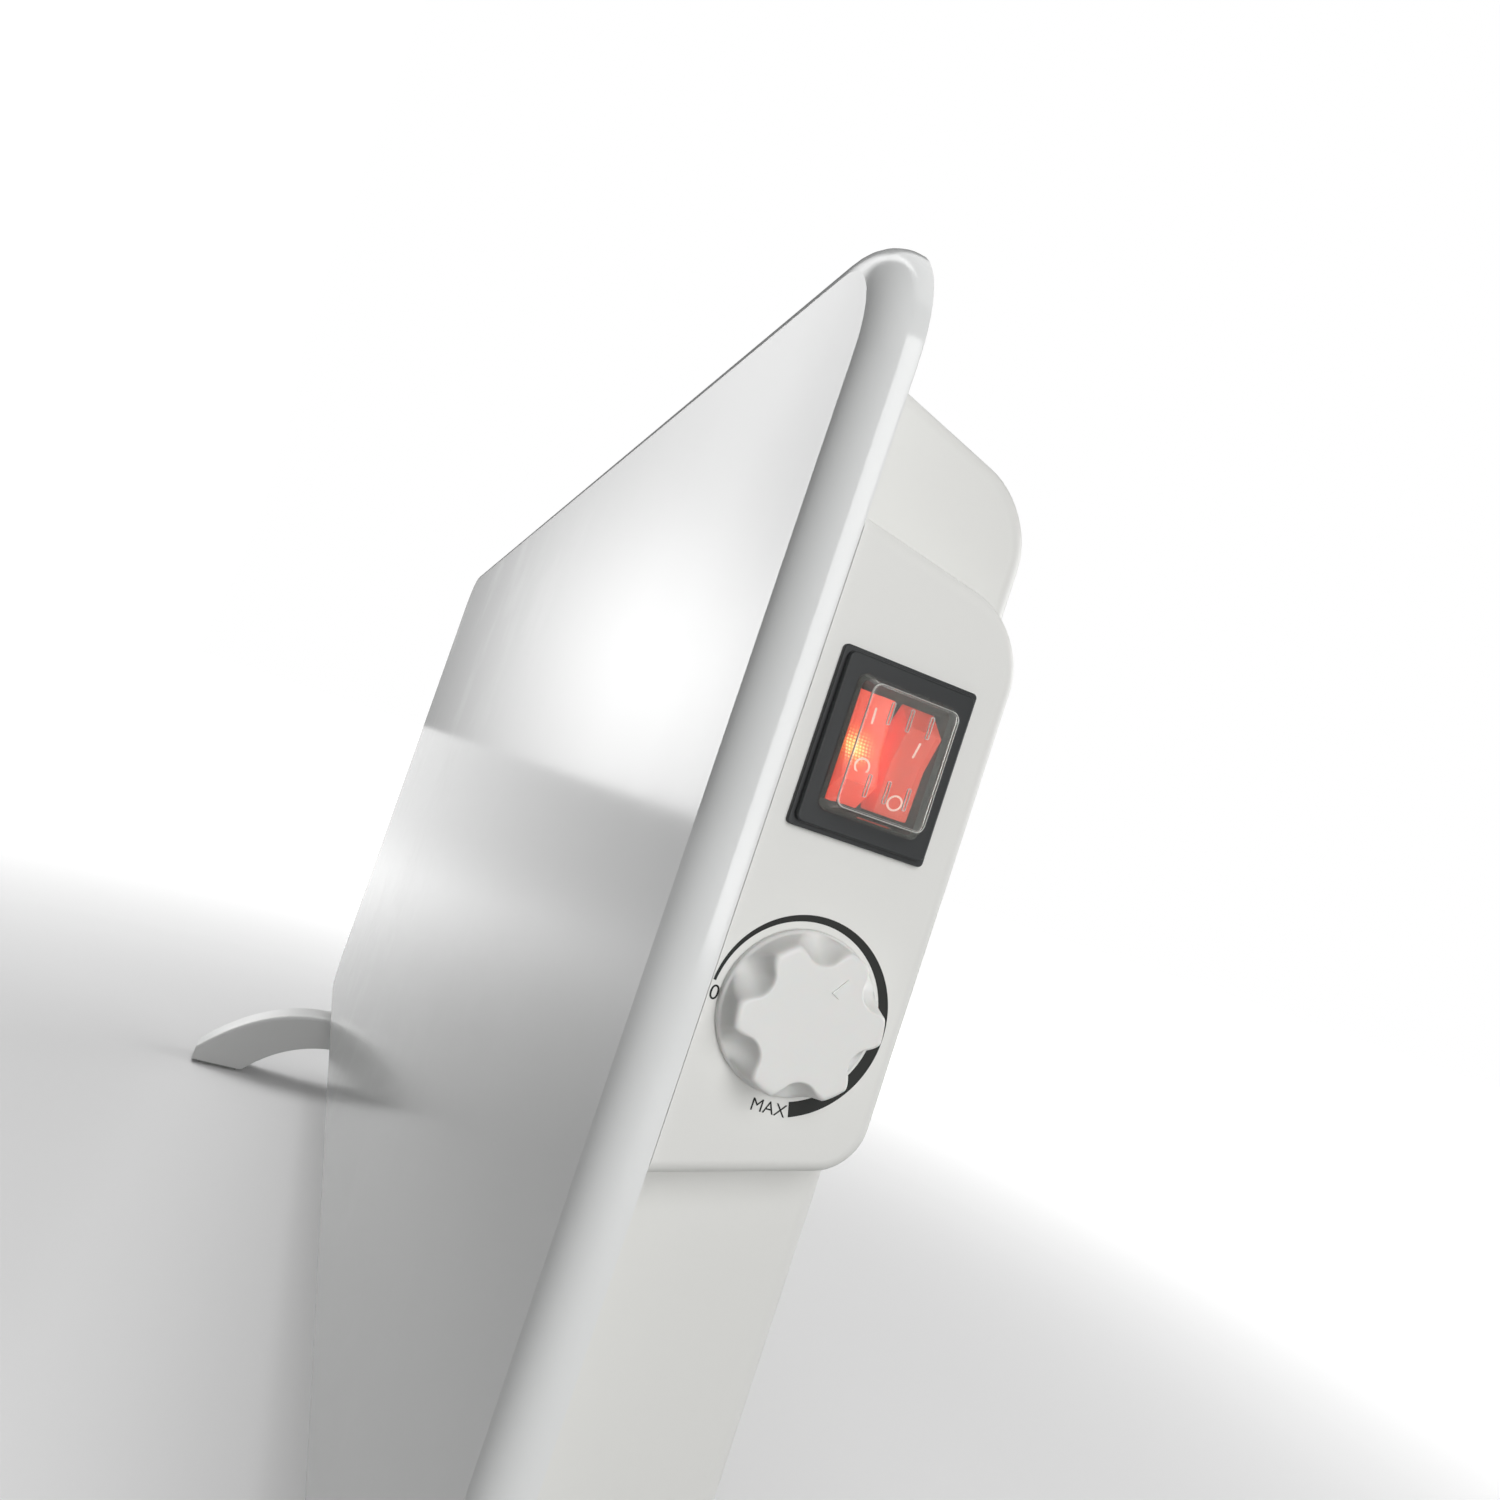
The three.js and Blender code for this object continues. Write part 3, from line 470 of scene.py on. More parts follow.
# %% Finished pieces
def finish_piece(name, bm, material, body, replaces=(), smooth_angle=35, outward=True):
    """Turns a bmesh into a piece of the heater."""
    if outward:
        bmesh.ops.remove_doubles(bm, verts=bm.verts, dist=1e-7)
        bmesh.ops.recalc_face_normals(bm, faces=bm.faces)
    mesh = bpy.data.meshes.new(name)
    bm.to_mesh(mesh)
    bm.free()
    piece = add_object(name, mesh)
    mesh.materials.append(material)
    for polygon in mesh.polygons:
        polygon.use_smooth = True
    mesh.set_sharp_from_angle(angle=math.radians(smooth_angle))
    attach(piece, body)
    if replaces:
        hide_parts(*replaces)
    print(f"{name}: {len(mesh.polygons)} faces")
    return piece


def even_normals(piece):
    """Keeps wide flat faces flat beside their rounded edges."""
    modifier = piece.modifiers.new("even_normals", "WEIGHTED_NORMAL")
    modifier.keep_sharp = True
    modifier.weight = 80


def add_wall(piece, thickness):
    modifier = piece.modifiers.new("wall", "SOLIDIFY")
    modifier.thickness = thickness
    modifier.offset = -1
    modifier.use_even_offset = True


def carve(piece, cutter_bm):
    """Cuts the cutter's shape out of a piece, for good, after its other modifiers."""
    bmesh.ops.recalc_face_normals(cutter_bm, faces=cutter_bm.faces)
    mesh = bpy.data.meshes.new("cutter")
    cutter_bm.to_mesh(mesh)
    cutter_bm.free()
    cutter = add_object("cutter", mesh)
    modifier = piece.modifiers.new("carve", "BOOLEAN")
    modifier.operation = "DIFFERENCE"
    modifier.solver = "EXACT"
    modifier.use_self = True
    modifier.object = cutter
    settle(piece)
    bpy.data.objects.remove(cutter)
    bpy.data.meshes.remove(mesh)


def settle(piece):
    """Makes the result of a piece's modifiers its own mesh."""
    bpy.context.view_layer.update()
    graph = bpy.context.evaluated_depsgraph_get()
    settled = bpy.data.meshes.new_from_object(piece.evaluated_get(graph))
    settled.name = piece.name
    piece.modifiers.clear()
    piece.data = settled


# %% [markdown]
# ## The front panel
# The real panel is one sheet of steel, pressed so that all four edges roll back in a quarter
# round, with a narrow hem behind. It could be a slab with a bevelled edge. Here the slab's front
# face is inset again and again along an arc instead, because the arc can then stop a few degrees
# short of flat. That leaves the crisp line that a pressed edge has where the flat face begins.
# The open back is given a sheet's thickness by a Solidify modifier.

# %% Front panel
SHEET = 1.2 * MM
PANEL_CORNER = 35 * MM
PANEL_ROLL = 10.4 * MM
ROLL_STEPS = 12
ROLL_CREASE = 9  # degrees left between the roll's end and the flat face


def build_front_panel():
    low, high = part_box("front_panel")
    radius = PANEL_ROLL / math.cos(math.radians(ROLL_CREASE))
    bm = bmesh.new()
    lip_front = low.y + PANEL_ROLL
    face = rounded_block(bm, 1, high.y, lip_front, (low.x, low.z), (high.x, high.z),
                         corner=PANEL_CORNER, segments=14)
    bmesh.ops.recalc_face_normals(bm, faces=bm.faces)
    turn = math.radians(90 - ROLL_CREASE) / ROLL_STEPS
    for step in range(ROLL_STEPS):
        before = math.radians(90) - step * turn
        after = before - turn
        inward = radius * (math.sin(before) - math.sin(after))
        forward = radius * (math.cos(after) - math.cos(before))
        bmesh.ops.inset_region(bm, faces=[face], thickness=inward, depth=forward,
                               use_even_offset=True)
    bmesh.ops.recalc_face_normals(bm, faces=bm.faces)
    back = faces_at(bm, 1, high.y)
    bmesh.ops.inset_region(bm, faces=back, thickness=5 * MM, use_even_offset=True)
    middle = max(faces_at(bm, 1, high.y), key=lambda face: face.calc_area())
    bmesh.ops.delete(bm, geom=[middle], context="FACES_ONLY")
    piece = finish_piece("front_panel_sheet", bm, panel_paint, "heater",
                         ["front_panel"], smooth_angle=50, outward=False)
    crisp_crease(piece, low.y)
    add_wall(piece, SHEET)
    even_normals(piece)


def crisp_crease(piece, level):
    """The flat face keeps a crisp border."""
    mesh = piece.data
    for edge in mesh.edges:
        if all(abs(mesh.vertices[index].co.y - level) < 1e-5 for index in edge.vertices):
            edge.use_edge_sharp = True


build_front_panel()

# %% [markdown]
# ## The casing
# Behind the panel sits a pan of thinner sheet. Its top and its bottom slope, its long rear
# corners are rounded, and its ends are softly turned. The outline is drawn from the side, pulled
# along the heater, and bevelled at both ends. Rows of vent slots are then punched in the slopes.

# %% Casing
CASING_ROUND = 15 * MM
CASING_END_ROUND = 4.5 * MM
CASING_SLOPE = 0.29
SLOT_COUNT = 26
SLOT_PITCH = 28 * MM
SLOT_LENGTH = 22 * MM
SLOT_WIDTH = 8 * MM
SLOT_MIDDLE = -2 * MM  # from front to back
SLOT_INSET = 8 * MM  # from the casing's top or bottom to a punch's middle
PUNCH_HEIGHT = 24 * MM


def casing_outline():
    low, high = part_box("rear_casing")
    fall = (high.y - low.y) * CASING_SLOPE
    corners = [(low.y, low.z), (high.y, low.z + fall), (high.y, high.z - fall), (low.y, high.z)]
    return [Vector((low.x, y, z)) for y, z in corners], low, high


def obround(bm, centre, length, width, height):
    """An upright punch with rounded ends, its length running from front to back."""
    half = Vector((width / 2, length / 2))
    low = (centre.x - half.x, centre.y - half.y)
    high = (centre.x + half.x, centre.y + half.y)
    rounded_block(bm, 2, centre.z - height / 2, centre.z + height / 2, low, high,
                  corner=width * 0.49, segments=6)


def build_rear_casing():
    corners, low, high = casing_outline()
    bm = bmesh.new()
    face = outline(bm, corners, [0, CASING_ROUND, CASING_ROUND, 0], segments=12)
    pull(bm, [face], Vector((high.x - low.x, 0, 0)))
    ends = [edge for level in (low.x, high.x) for edge in edges_at(bm, 0, level)
            if not all(abs(vert.co.y - low.y) < 1e-6 for vert in edge.verts)]
    soften(bm, ends, CASING_END_ROUND, segments=6)
    bmesh.ops.recalc_face_normals(bm, faces=bm.faces)
    bmesh.ops.delete(bm, geom=faces_at(bm, 1, low.y), context="FACES_ONLY")
    piece = finish_piece("casing_pan", bm, casing_paint, "heater",
                         ["rear_casing"], smooth_angle=50, outward=False)
    add_wall(piece, SHEET)
    punches = bmesh.new()
    middle_x = (low.x + high.x) / 2
    for index in range(SLOT_COUNT):
        x = middle_x + (index - (SLOT_COUNT - 1) / 2) * SLOT_PITCH
        for z in (high.z - SLOT_INSET, low.z + SLOT_INSET):
            obround(punches, Vector((x, SLOT_MIDDLE, z)), SLOT_LENGTH, SLOT_WIDTH, PUNCH_HEIGHT)
    carve(piece, punches)
    even_normals(piece)


build_rear_casing()

# %% [markdown]
# ## The control housing
# A moulded cap closes the right-hand end. Seen from the end it is a tall shape with a sloping
# top and bottom and two well rounded rear corners, and its face has a small soft edge. It is
# pulled from that outline, softened on the face, walled, and cut for the switch.

# %% Control housing
HOUSING_EDGE = 3.4 * MM
HOUSING_WALL = 2.4 * MM
HOUSING_TOP_SLOPE = 0.173
HOUSING_BOTTOM_SLOPE = 0.22
HOUSING_LOW_CORNER = 9 * MM
HOUSING_FRONT_GAP = 0.2 * MM
SWITCH_HOLE = Vector((25.3, 31.8)) * MM


def build_control_housing():
    low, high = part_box("control_housing")
    depth = high.y - low.y
    front = low.y + HOUSING_FRONT_GAP
    corners = [
        Vector((low.x, front, low.z)),
        Vector((low.x, high.y, low.z + HOUSING_BOTTOM_SLOPE * depth)),
        Vector((low.x, high.y, high.z - HOUSING_TOP_SLOPE * depth)),
        Vector((low.x, front, high.z)),
    ]
    bm = bmesh.new()
    face = outline(bm, corners, [0, HOUSING_LOW_CORNER, CASING_ROUND, 0], segments=12)
    end_face = pull(bm, [face], Vector((high.x - low.x, 0, 0)))[0]
    rim = [edge for edge in end_face.edges
           if not all(abs(vert.co.y - front) < 1e-6 for vert in edge.verts)]
    soften(bm, rim, HOUSING_EDGE, segments=8)
    bmesh.ops.recalc_face_normals(bm, faces=bm.faces)
    bmesh.ops.delete(bm, geom=faces_at(bm, 0, low.x), context="FACES_ONLY")
    piece = finish_piece("control_housing_cap", bm, housing_plastic, "heater",
                         ["control_housing"], smooth_angle=50, outward=False)
    add_wall(piece, HOUSING_WALL)
    cuts = bmesh.new()
    margin = SWITCH_HOLE / 2
    rounded_block(cuts, 0, high.x - 12 * MM, high.x + 5 * MM,
                  (SWITCH_MIDDLE.y - margin.x, SWITCH_MIDDLE.z - margin.y),
                  (SWITCH_MIDDLE.y + margin.x, SWITCH_MIDDLE.z + margin.y), corner=2.4 * MM)
    carve(piece, cuts)
    even_normals(piece)


build_control_housing()

# %% [markdown]
# ## The switch frame and its clear cover
# The black frame is a thin flange with a raised plate on it, and a deep mouth for the rockers.
# Blocks with rounded corners are stacked as separate pieces, and the mouth is cut through each.
# The cover is a shallow box of clear rubber with leaning sides and small ribs on its top.

# %% Switch frame
MOUTH = Vector((20.2, 25.8)) * MM


def switch_span(width, height):
    """Low and high (y, z) corners of a rectangle centred on the switch."""
    y, z = SWITCH_MIDDLE.y, SWITCH_MIDDLE.z
    return (y - width / 2, z - height / 2), (y + width / 2, z + height / 2)


def switch_block(bm, start, end, width, height, corner, edge=0.0):
    top = rounded_block(bm, 0, start, end, *switch_span(width, height), corner=corner, segments=6)
    if edge > 0:
        soften(bm, top.edges, edge, segments=3)


def build_switch_frame():
    """The flange, the raised plate on it and the sleeve behind, all with one mouth."""
    low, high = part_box("rocker_bezel")
    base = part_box("control_housing")[1].x + 0.05 * MM
    # name, start, end, width, height, corner, soft edge, and the CAD node that it stands for
    blocks = [
        ("switch_frame", base, base + 1.25 * MM, high.y - low.y, high.z - low.z, 1.0 * MM,
         0.3 * MM, ["rocker_bezel"]),
        ("switch_frame_plate", base + 0.9 * MM, high.x, 29.8 * MM, 35.9 * MM, 1.6 * MM,
         0.45 * MM, ()),
        ("switch_frame_sleeve", low.x, base + 0.5 * MM, 24.5 * MM, 31 * MM, 2 * MM, 0.0, ()),
    ]
    for name, start, end, width, height, corner, edge, replaces in blocks:
        bm = bmesh.new()
        switch_block(bm, start, end, width, height, corner, edge)
        piece = finish_piece(name, bm, black_plastic, "heater", replaces)
        mouth = bmesh.new()
        switch_block(mouth, low.x - 5 * MM, high.x + 5 * MM, MOUTH.x, MOUTH.y, 1 * MM)
        carve(piece, mouth)
        if edge > 0:
            even_normals(piece)


build_switch_frame()

# %% Clear cover
COVER_WALL = 0.5 * MM
COVER_TOP = Vector((20.0, 25.6)) * MM
RIB_COLUMNS = (-4.9, -0.5, 4.15)  # millimetres across from the switch's middle
RIB_ROWS = (-7.2, 7.8)  # millimetres up from it
RIB_HALF = Vector((0.4, 2.35)) * MM
RIB_WALL = 0.14 * MM


def build_cover():
    low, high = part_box("switch_clear_cover")
    width, height = high.y - low.y, high.z - low.z
    bm = bmesh.new()
    top = rounded_block(bm, 0, low.x, high.x, *switch_span(width, height), corner=2 * MM,
                        segments=5)
    lean = Vector((1, COVER_TOP.x / width, COVER_TOP.y / height))
    bmesh.ops.scale(bm, verts=top.verts, vec=lean,
                    space=Matrix.Translation(-Vector((0, SWITCH_MIDDLE.y, SWITCH_MIDDLE.z))))
    soften(bm, top.edges, 0.5 * MM, segments=4)
    bmesh.ops.recalc_face_normals(bm, faces=bm.faces)
    bmesh.ops.delete(bm, geom=faces_at(bm, 0, low.x), context="FACES_ONLY")
    piece = finish_piece("clear_cover_dome", bm, clear_cover, "heater",
                         ["switch_clear_cover"], smooth_angle=50, outward=False)
    add_wall(piece, COVER_WALL)
    settle(piece)
    even_normals(piece)


def build_cover_highlights():
    """The six moulded ribs and the dome's rim: thin upright walls in a whiter, less clear finish, a
    painted highlight.
    """
    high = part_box("switch_clear_cover")[1]
    bm = bmesh.new()
    rounded_block(bm, 0, high.x - 0.4 * MM, high.x + 0.03 * MM, *switch_span(*COVER_TOP),
                  corner=1.9 * MM, segments=5)
    for column in RIB_COLUMNS:
        for row in RIB_ROWS:
            y = SWITCH_MIDDLE.y + column * MM
            z = SWITCH_MIDDLE.z + row * MM
            rounded_block(bm, 0, high.x + 0.02 * MM, high.x + 0.4 * MM,
                          (y - RIB_HALF.x, z - RIB_HALF.y), (y + RIB_HALF.x, z + RIB_HALF.y),
                          corner=0.3 * MM, segments=3)
    bmesh.ops.recalc_face_normals(bm, faces=bm.faces)
    ends = [face for face in bm.faces if abs(face.normal.x) > 0.9]
    bmesh.ops.delete(bm, geom=ends, context="FACES_ONLY")
    piece = finish_piece("clear_cover_highlight_lines", bm, clear_edge_painted_highlight, "heater",
                         smooth_angle=50, outward=False)
    add_wall(piece, RIB_WALL)
    settle(piece)
    even_normals(piece)


build_cover_highlights()
build_cover()

# %% [markdown]
# ## The rockers
# Each rocker has a shallow valley on top and stands proud at the end that isn't pressed. It is
# drawn level from the side, pulled to its width and softened. Its lens lines are cut into the
# upper faces, the I and O marks are added, and the whole is then tilted about its pin to the
# position the switch is in.

# %% Rockers
ROCKER = {"width": 7.9, "valley": 3.0, "pivot_x": 432.3}
ROCKER_PRESSED = (4.2, 10.8)  # height and distance of the long end
ROCKER_RAISED = (4.8, 7.8)  # height and distance where the raised end falls away
ROCKER_TILT = math.radians(10)
GROOVE_DEPTH = 0.13
MARK_REACH = 1.75  # half the height of the I and of the O
MARK_HALF_LINE = 0.24


def rocker_top(z):
    """Height of the level rocker's face at a distance from its middle. Raised end at +z."""
    height, reach = ROCKER_RAISED if z > 0 else ROCKER_PRESSED
    return ROCKER["valley"] + (height - ROCKER["valley"]) * abs(z) / reach


def rocker_lean(z):
    height, reach = ROCKER_RAISED if z > 0 else ROCKER_PRESSED
    return math.copysign(math.atan((height - ROCKER["valley"]) / reach), -z)


def groove_lens(bm, width, count=9):
    """Fine lengthwise grooves across the rocker's upper faces."""
    pitch = (width - 1.6) / count
    first = -(width - 1.6) / 2
    for step in range(2 * count + 1):
        y = first + step * pitch / 2
        upper = [face for face in bm.faces if face.normal.x > 0.9]
        edges = {edge for face in upper for edge in face.edges}
        verts = {vert for face in upper for vert in face.verts}
        cut = bmesh.ops.bisect_plane(bm, geom=upper + list(edges) + list(verts), dist=1e-4,
                                     plane_co=(0, y, 0), plane_no=(0, 1, 0))
        if step % 2 == 1:
            bmesh.ops.translate(bm, verts=verts_in(cut["geom_cut"]), vec=(-GROOVE_DEPTH, 0, 0))


def rocker_body():
    """The level rocker, with its raised end towards +z."""
    valley, width = ROCKER["valley"], ROCKER["width"]
    side = [(valley, 0), ROCKER_RAISED, (-2.4, 11.5), (-5.5, 5), (-5.5, -5), (-2, -11.7),
            (ROCKER_PRESSED[0], -ROCKER_PRESSED[1])]
    bm = bmesh.new()
    face = outline(bm, [Vector((x, -width / 2, z)) for x, z in side])
    pull(bm, [face], Vector((0, width, 0)))
    bmesh.ops.recalc_face_normals(bm, faces=bm.faces)
    crown = [edge for edge in bm.edges
             if any(vert.co.x > valley - 0.1 for vert in edge.verts)
             and not all(abs(vert.co.z) < 1e-6 for vert in edge.verts)]
    soften(bm, crown, 0.35, segments=3)
    bmesh.ops.recalc_face_normals(bm, faces=bm.faces)
    return bm


def place_rocker(bm, across, tilt, flip):
    """Turns the level rocker end for end when flip is set, tilts it and sets it on its pin."""
    turn = Matrix.Rotation(math.pi, 4, "X") if flip else Matrix.Identity(4)
    spin = Matrix.Rotation(tilt, 4, "Y")
    place = Matrix.Translation(Vector((
        ROCKER["pivot_x"] * MM, SWITCH_MIDDLE.y + across * MM, SWITCH_MIDDLE.z)))
    bmesh.ops.transform(bm, matrix=place @ spin @ turn @ Matrix.Scale(MM, 4), verts=bm.verts)


def mark_line(z):
    """The I: a thin bar lying on the face."""
    bm = bmesh.new()
    low, high, half = z - MARK_REACH, z + MARK_REACH, MARK_HALF_LINE
    corners = [Vector((rocker_top(end), y, end)) for y, end in
               ((-half, low), (half, low), (half, high), (-half, high))]
    face = outline(bm, corners, 0.2, segments=4)
    bmesh.ops.translate(bm, verts=bm.verts, vec=(0.02, 0, 0))
    pull(bm, [face], Vector((0.05, 0, 0)))
    return bm


def mark_ring(z):
    """The O: a flat ring lying on the face."""
    bm = bmesh.new()
    bmesh.ops.create_circle(bm, segments=40, radius=MARK_REACH, cap_ends=False)
    made = bmesh.ops.extrude_edge_only(bm, edges=list(bm.edges))["geom"]
    bmesh.ops.scale(bm, verts=verts_in(made), vec=(0.76, 0.76, 1))
    pull(bm, list(bm.faces), Vector((0, 0, 0.05)))
    upright = Matrix.Rotation(math.radians(90), 4, "Y")
    lean = Matrix.Rotation(rocker_lean(z), 4, "Y")
    place = Matrix.Translation(Vector((rocker_top(z) + 0.03, 0, z)))
    bmesh.ops.transform(bm, matrix=place @ lean @ upright, verts=bm.verts)
    return bm


# The I and O marks give off a faint glow of their own, on the rocker that is off too: painted
# light.
mark_ink_painted_glow = finish("mark_ink_painted_glow", (0.95, 0.72, 0.68), (0.9, 0.66, 0.62), 0.5, 0.6, scale=2000.0,
                  Emission_Strength=0.45)
glow_colour(mark_ink_painted_glow, (1, 0.72, 0.62))


def build_rocker(body, across, tilt, flip, line_at, ring_at, material):
    bm = rocker_body()
    groove_lens(bm, ROCKER["width"])
    place_rocker(bm, across, tilt, flip)
    finish_piece(f"{body}_cap", bm, material, body, [body], smooth_angle=25)
    for name, mark in (("line", mark_line(line_at)), ("ring", mark_ring(ring_at))):
        place_rocker(mark, across, tilt, flip)
        finish_piece(f"{body}_{name}", mark, mark_ink_painted_glow, body)


build_rocker("rocker_front", -5.6, -ROCKER_TILT, True, -6.4, 4.4, rocker_lit)
build_rocker("rocker_rear", 4.85, ROCKER_TILT, False, 3.9, -7.7, rocker_off_painted_glow)

# %% [markdown]
# ## The thermostat knob
# The knob is a low drum on a round base ring, with six deep scoops that leave lobes to grip.
# A stack of rings is extruded from one circle. Each ring's radius is then drawn in by the scoops,
# a little at the base and fully at the top, so that the scoops run out on the base ring.

# %% Knob
KNOB_LOW, KNOB_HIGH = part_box("thermostat_knob")
KNOB_Y = (KNOB_LOW.y + KNOB_HIGH.y) / 2
KNOB_Z = (KNOB_LOW.z + KNOB_HIGH.z) / 2
KNOB_LOBES = 6
KNOB_TURN = math.radians(22)
KNOB_AROUND = 240
BITE_CENTRE = 16.3  # how far out the middle of each round bite lies
# (height above the face, drum radius, radius of the bites), in millimetres
KNOB_RINGS = [
    (0.15, 16.6, 0.0), (0.3, 16.95, 0.0), (1.1, 17.0, 0.0), (1.6, 16.95, 0.0), (1.9, 16.75, 0.0),
    (2.1, 16.5, 0.4), (2.5, 16.35, 1.1), (3.2, 16.25, 2.0), (4.2, 16.2, 2.8), (5.4, 16.1, 3.5),
    (6.6, 16.05, 4.0), (7.6, 16.0, 4.3), (8.4, 15.9, 4.5), (8.9, 15.75, 4.65), (9.2, 15.5, 4.8),
    (9.4, 15.15, 4.95), (9.48, 14.7, 5.1), (9.5, 14.2, 5.2),
]
KNOB_CAP = [(9.5, 10.8, 0.0), (9.5, 7.0, 0.0), (9.5, 3.0, 0.0)]


def bitten(angle, radius, bite):
    """The drum's radius in one direction, drawn in where a round bite reaches it."""
    pitch = math.tau / KNOB_LOBES
    away = (angle - KNOB_TURN) % pitch - pitch / 2
    side = BITE_CENTRE * math.sin(away)
    if abs(side) >= bite:
        return radius
    return min(radius, BITE_CENTRE * math.cos(away) - math.sqrt(bite ** 2 - side ** 2))


def knob_radius(angle, radius, bite):
    """The bitten radius, averaged over a few degrees so that the lobes have round corners."""
    spread = [math.radians(step) for step in (-4, -2.7, -1.3, 0, 1.3, 2.7, 4)]
    return sum(bitten(angle + step, radius, bite) for step in spread) / len(spread)


def build_knob():
    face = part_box("control_housing")[1].x
    bm = bmesh.new()
    circle = bmesh.ops.create_circle(bm, segments=KNOB_AROUND, radius=1.0, cap_ends=False)
    ring = circle["verts"]
    for level, (height, radius, bite) in enumerate(KNOB_RINGS + KNOB_CAP):
        if level > 0:
            edges = {edge for vert in ring for edge in vert.link_edges
                     if edge.is_boundary or level == 1}
            edges = [edge for edge in edges if all(vert in last_ring for vert in edge.verts)]
            ring = verts_in(bmesh.ops.extrude_edge_only(bm, edges=edges)["geom"])
        for vert in ring:
            angle = math.atan2(vert.co.y, vert.co.z) if level else math.atan2(vert.co.y, vert.co.x)
            distance = knob_radius(angle, radius, bite) * MM
            vert.co = Vector((face + height * MM, distance * math.sin(angle),
                              distance * math.cos(angle)))
        last_ring = set(ring)
    edges = [edge for edge in bm.edges if edge.is_boundary
             and all(vert in last_ring for vert in edge.verts)]
    bmesh.ops.holes_fill(bm, edges=edges)
    bmesh.ops.translate(bm, verts=bm.verts, vec=(0, KNOB_Y, KNOB_Z))
    finish_piece("knob_cap", bm, knob_plastic, "knob", ["thermostat_knob"],
                 smooth_angle=60)


build_knob()

# %% Raised pointer
def build_pointer():
    """A slender wedge that stands a little proud of the knob's top."""
    bm = bmesh.new()

    def place(along, across):
        return Vector((
            KNOB_HIGH.x - 0.3 * MM,
            KNOB_Y + (along * math.sin(KNOB_TURN) + across * math.cos(KNOB_TURN)) * MM,
            KNOB_Z + (along * math.cos(KNOB_TURN) - across * math.sin(KNOB_TURN)) * MM))

    face = outline(bm, [place(7.0, 0.95), place(11.1, 0.1), place(7.1, -0.95)])
    pull(bm, [face], Vector((0.65 * MM, 0, 0)))
    bmesh.ops.recalc_face_normals(bm, faces=bm.faces)
    finish_piece("knob_pointer", bm, knob_plastic, "knob")


build_pointer()

# %% [markdown]
# ## The printed scale
# A dark band starts as a hairline at 0 and widens round the knob to MAX. It is printed, so it
# lies almost flush on the housing. The band is one strip, extruded step by step along its arc
# while its two edges move apart, and the marks are text turned to mesh.

# %% Scale band
SCALE = {"start": -84.5, "end": 164.5, "steps": 100,
         "inner": (18.45, 18.35), "outer": (19.05, 21.5)}
PRINT_LIFT = 0.04 * MM


def build_scale_band():
    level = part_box("control_housing")[1].x + PRINT_LIFT

    def place(share, span):
        angle = math.radians(SCALE["start"] + (SCALE["end"] - SCALE["start"]) * share)
        radius = (span[0] + (span[1] - span[0]) * share) * MM
        return Vector((level, KNOB_Y + radius * math.sin(angle),
                       KNOB_Z + radius * math.cos(angle)))

    bm = bmesh.new()
    inner, outer = bm.verts.new(place(0, SCALE["inner"])), bm.verts.new(place(0, SCALE["outer"]))
    edge = bm.edges.new((inner, outer))
    for step in range(1, SCALE["steps"] + 1):
        made = bmesh.ops.extrude_edge_only(bm, edges=[edge])["geom"]
        ends = verts_in(made)
        edge = next(item for item in made if isinstance(item, bmesh.types.BMEdge)
                    and all(vert in ends for vert in item.verts))
        share = step / SCALE["steps"]
        ends.sort(key=lambda vert: Vector((0, vert.co.y - KNOB_Y, vert.co.z - KNOB_Z)).length)
        ends[0].co = place(share, SCALE["inner"])
        ends[1].co = place(share, SCALE["outer"])
    pull(bm, list(bm.faces), Vector((-0.03 * MM, 0, 0)))
    finish_piece("scale_band", bm, print_ink, "heater")


build_scale_band()


# %% Scale marks
CAP_HEIGHT = 0.7  # of a capital, in text of size 1


def build_mark(name, words, height, y, z):
    """Generic text, upright on the housing's face."""
    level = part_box("control_housing")[1].x + PRINT_LIFT
    curve = bpy.data.curves.new(name, "FONT")
    curve.body = words
    curve.align_x = "CENTER"
    curve.align_y = "CENTER"
    text = add_object(name + "_text", curve)
    bpy.context.view_layer.update()
    graph = bpy.context.evaluated_depsgraph_get()
    mesh = bpy.data.meshes.new_from_object(text.evaluated_get(graph))
    bpy.data.objects.remove(text)
    bm = bmesh.new()
    bm.from_mesh(mesh)
    bpy.data.meshes.remove(mesh)
    size = height / CAP_HEIGHT
    upright = Matrix(((0, 0, size, level), (size, 0, 0, y), (0, size, 0, z), (0, 0, 0, 1)))
    bmesh.ops.transform(bm, matrix=upright, verts=bm.verts)
    finish_piece(name, bm, print_ink, "heater")


build_mark("scale_zero", "0", 3.0 * MM, KNOB_Y - 17.9 * MM, KNOB_Z - 0.7 * MM)
build_mark("scale_max", "MAX", 2.6 * MM, KNOB_Y + 1.0 * MM, KNOB_Z - 19.9 * MM)

# %% [markdown]
# ## The feet
# Each foot is an arch, open below, with softly rounded upper edges. The side view is drawn with
# two smooth curves, one above and one below, pulled to the foot's width and softened. A hollow
# is then carved from below so that it stays a shell, as a pressed or cast foot is.

# %% Feet
FOOT = {"crown": 59.5, "shoulder": 72.0, "tip": 12.0, "sole": 2.5, "wall": 3.0}
FOOT_ARCH = {"half": 76.0, "shoulder": 46.0, "top": 36.0}


def curve_points(start, control, end, steps):
    """Points along a smooth curve that leaves start and reaches end, drawn towards control."""
    shares = [step / steps for step in range(steps + 1)]
    return [tuple((1 - t) ** 2 * a + 2 * t * (1 - t) * b + t * t * c
                  for a, b, c in zip(start, control, end)) for t in shares]


def foot_upper(reach, lowered=0.0):
    """The upper line, from the front tip to the rear tip."""
    crown, tip = FOOT["crown"] - lowered, FOOT["tip"] - lowered
    rising = curve_points((-reach, tip), (-FOOT["shoulder"], crown), (-20, crown), 18)
    return rising + [(-y, z) for y, z in reversed(rising)]


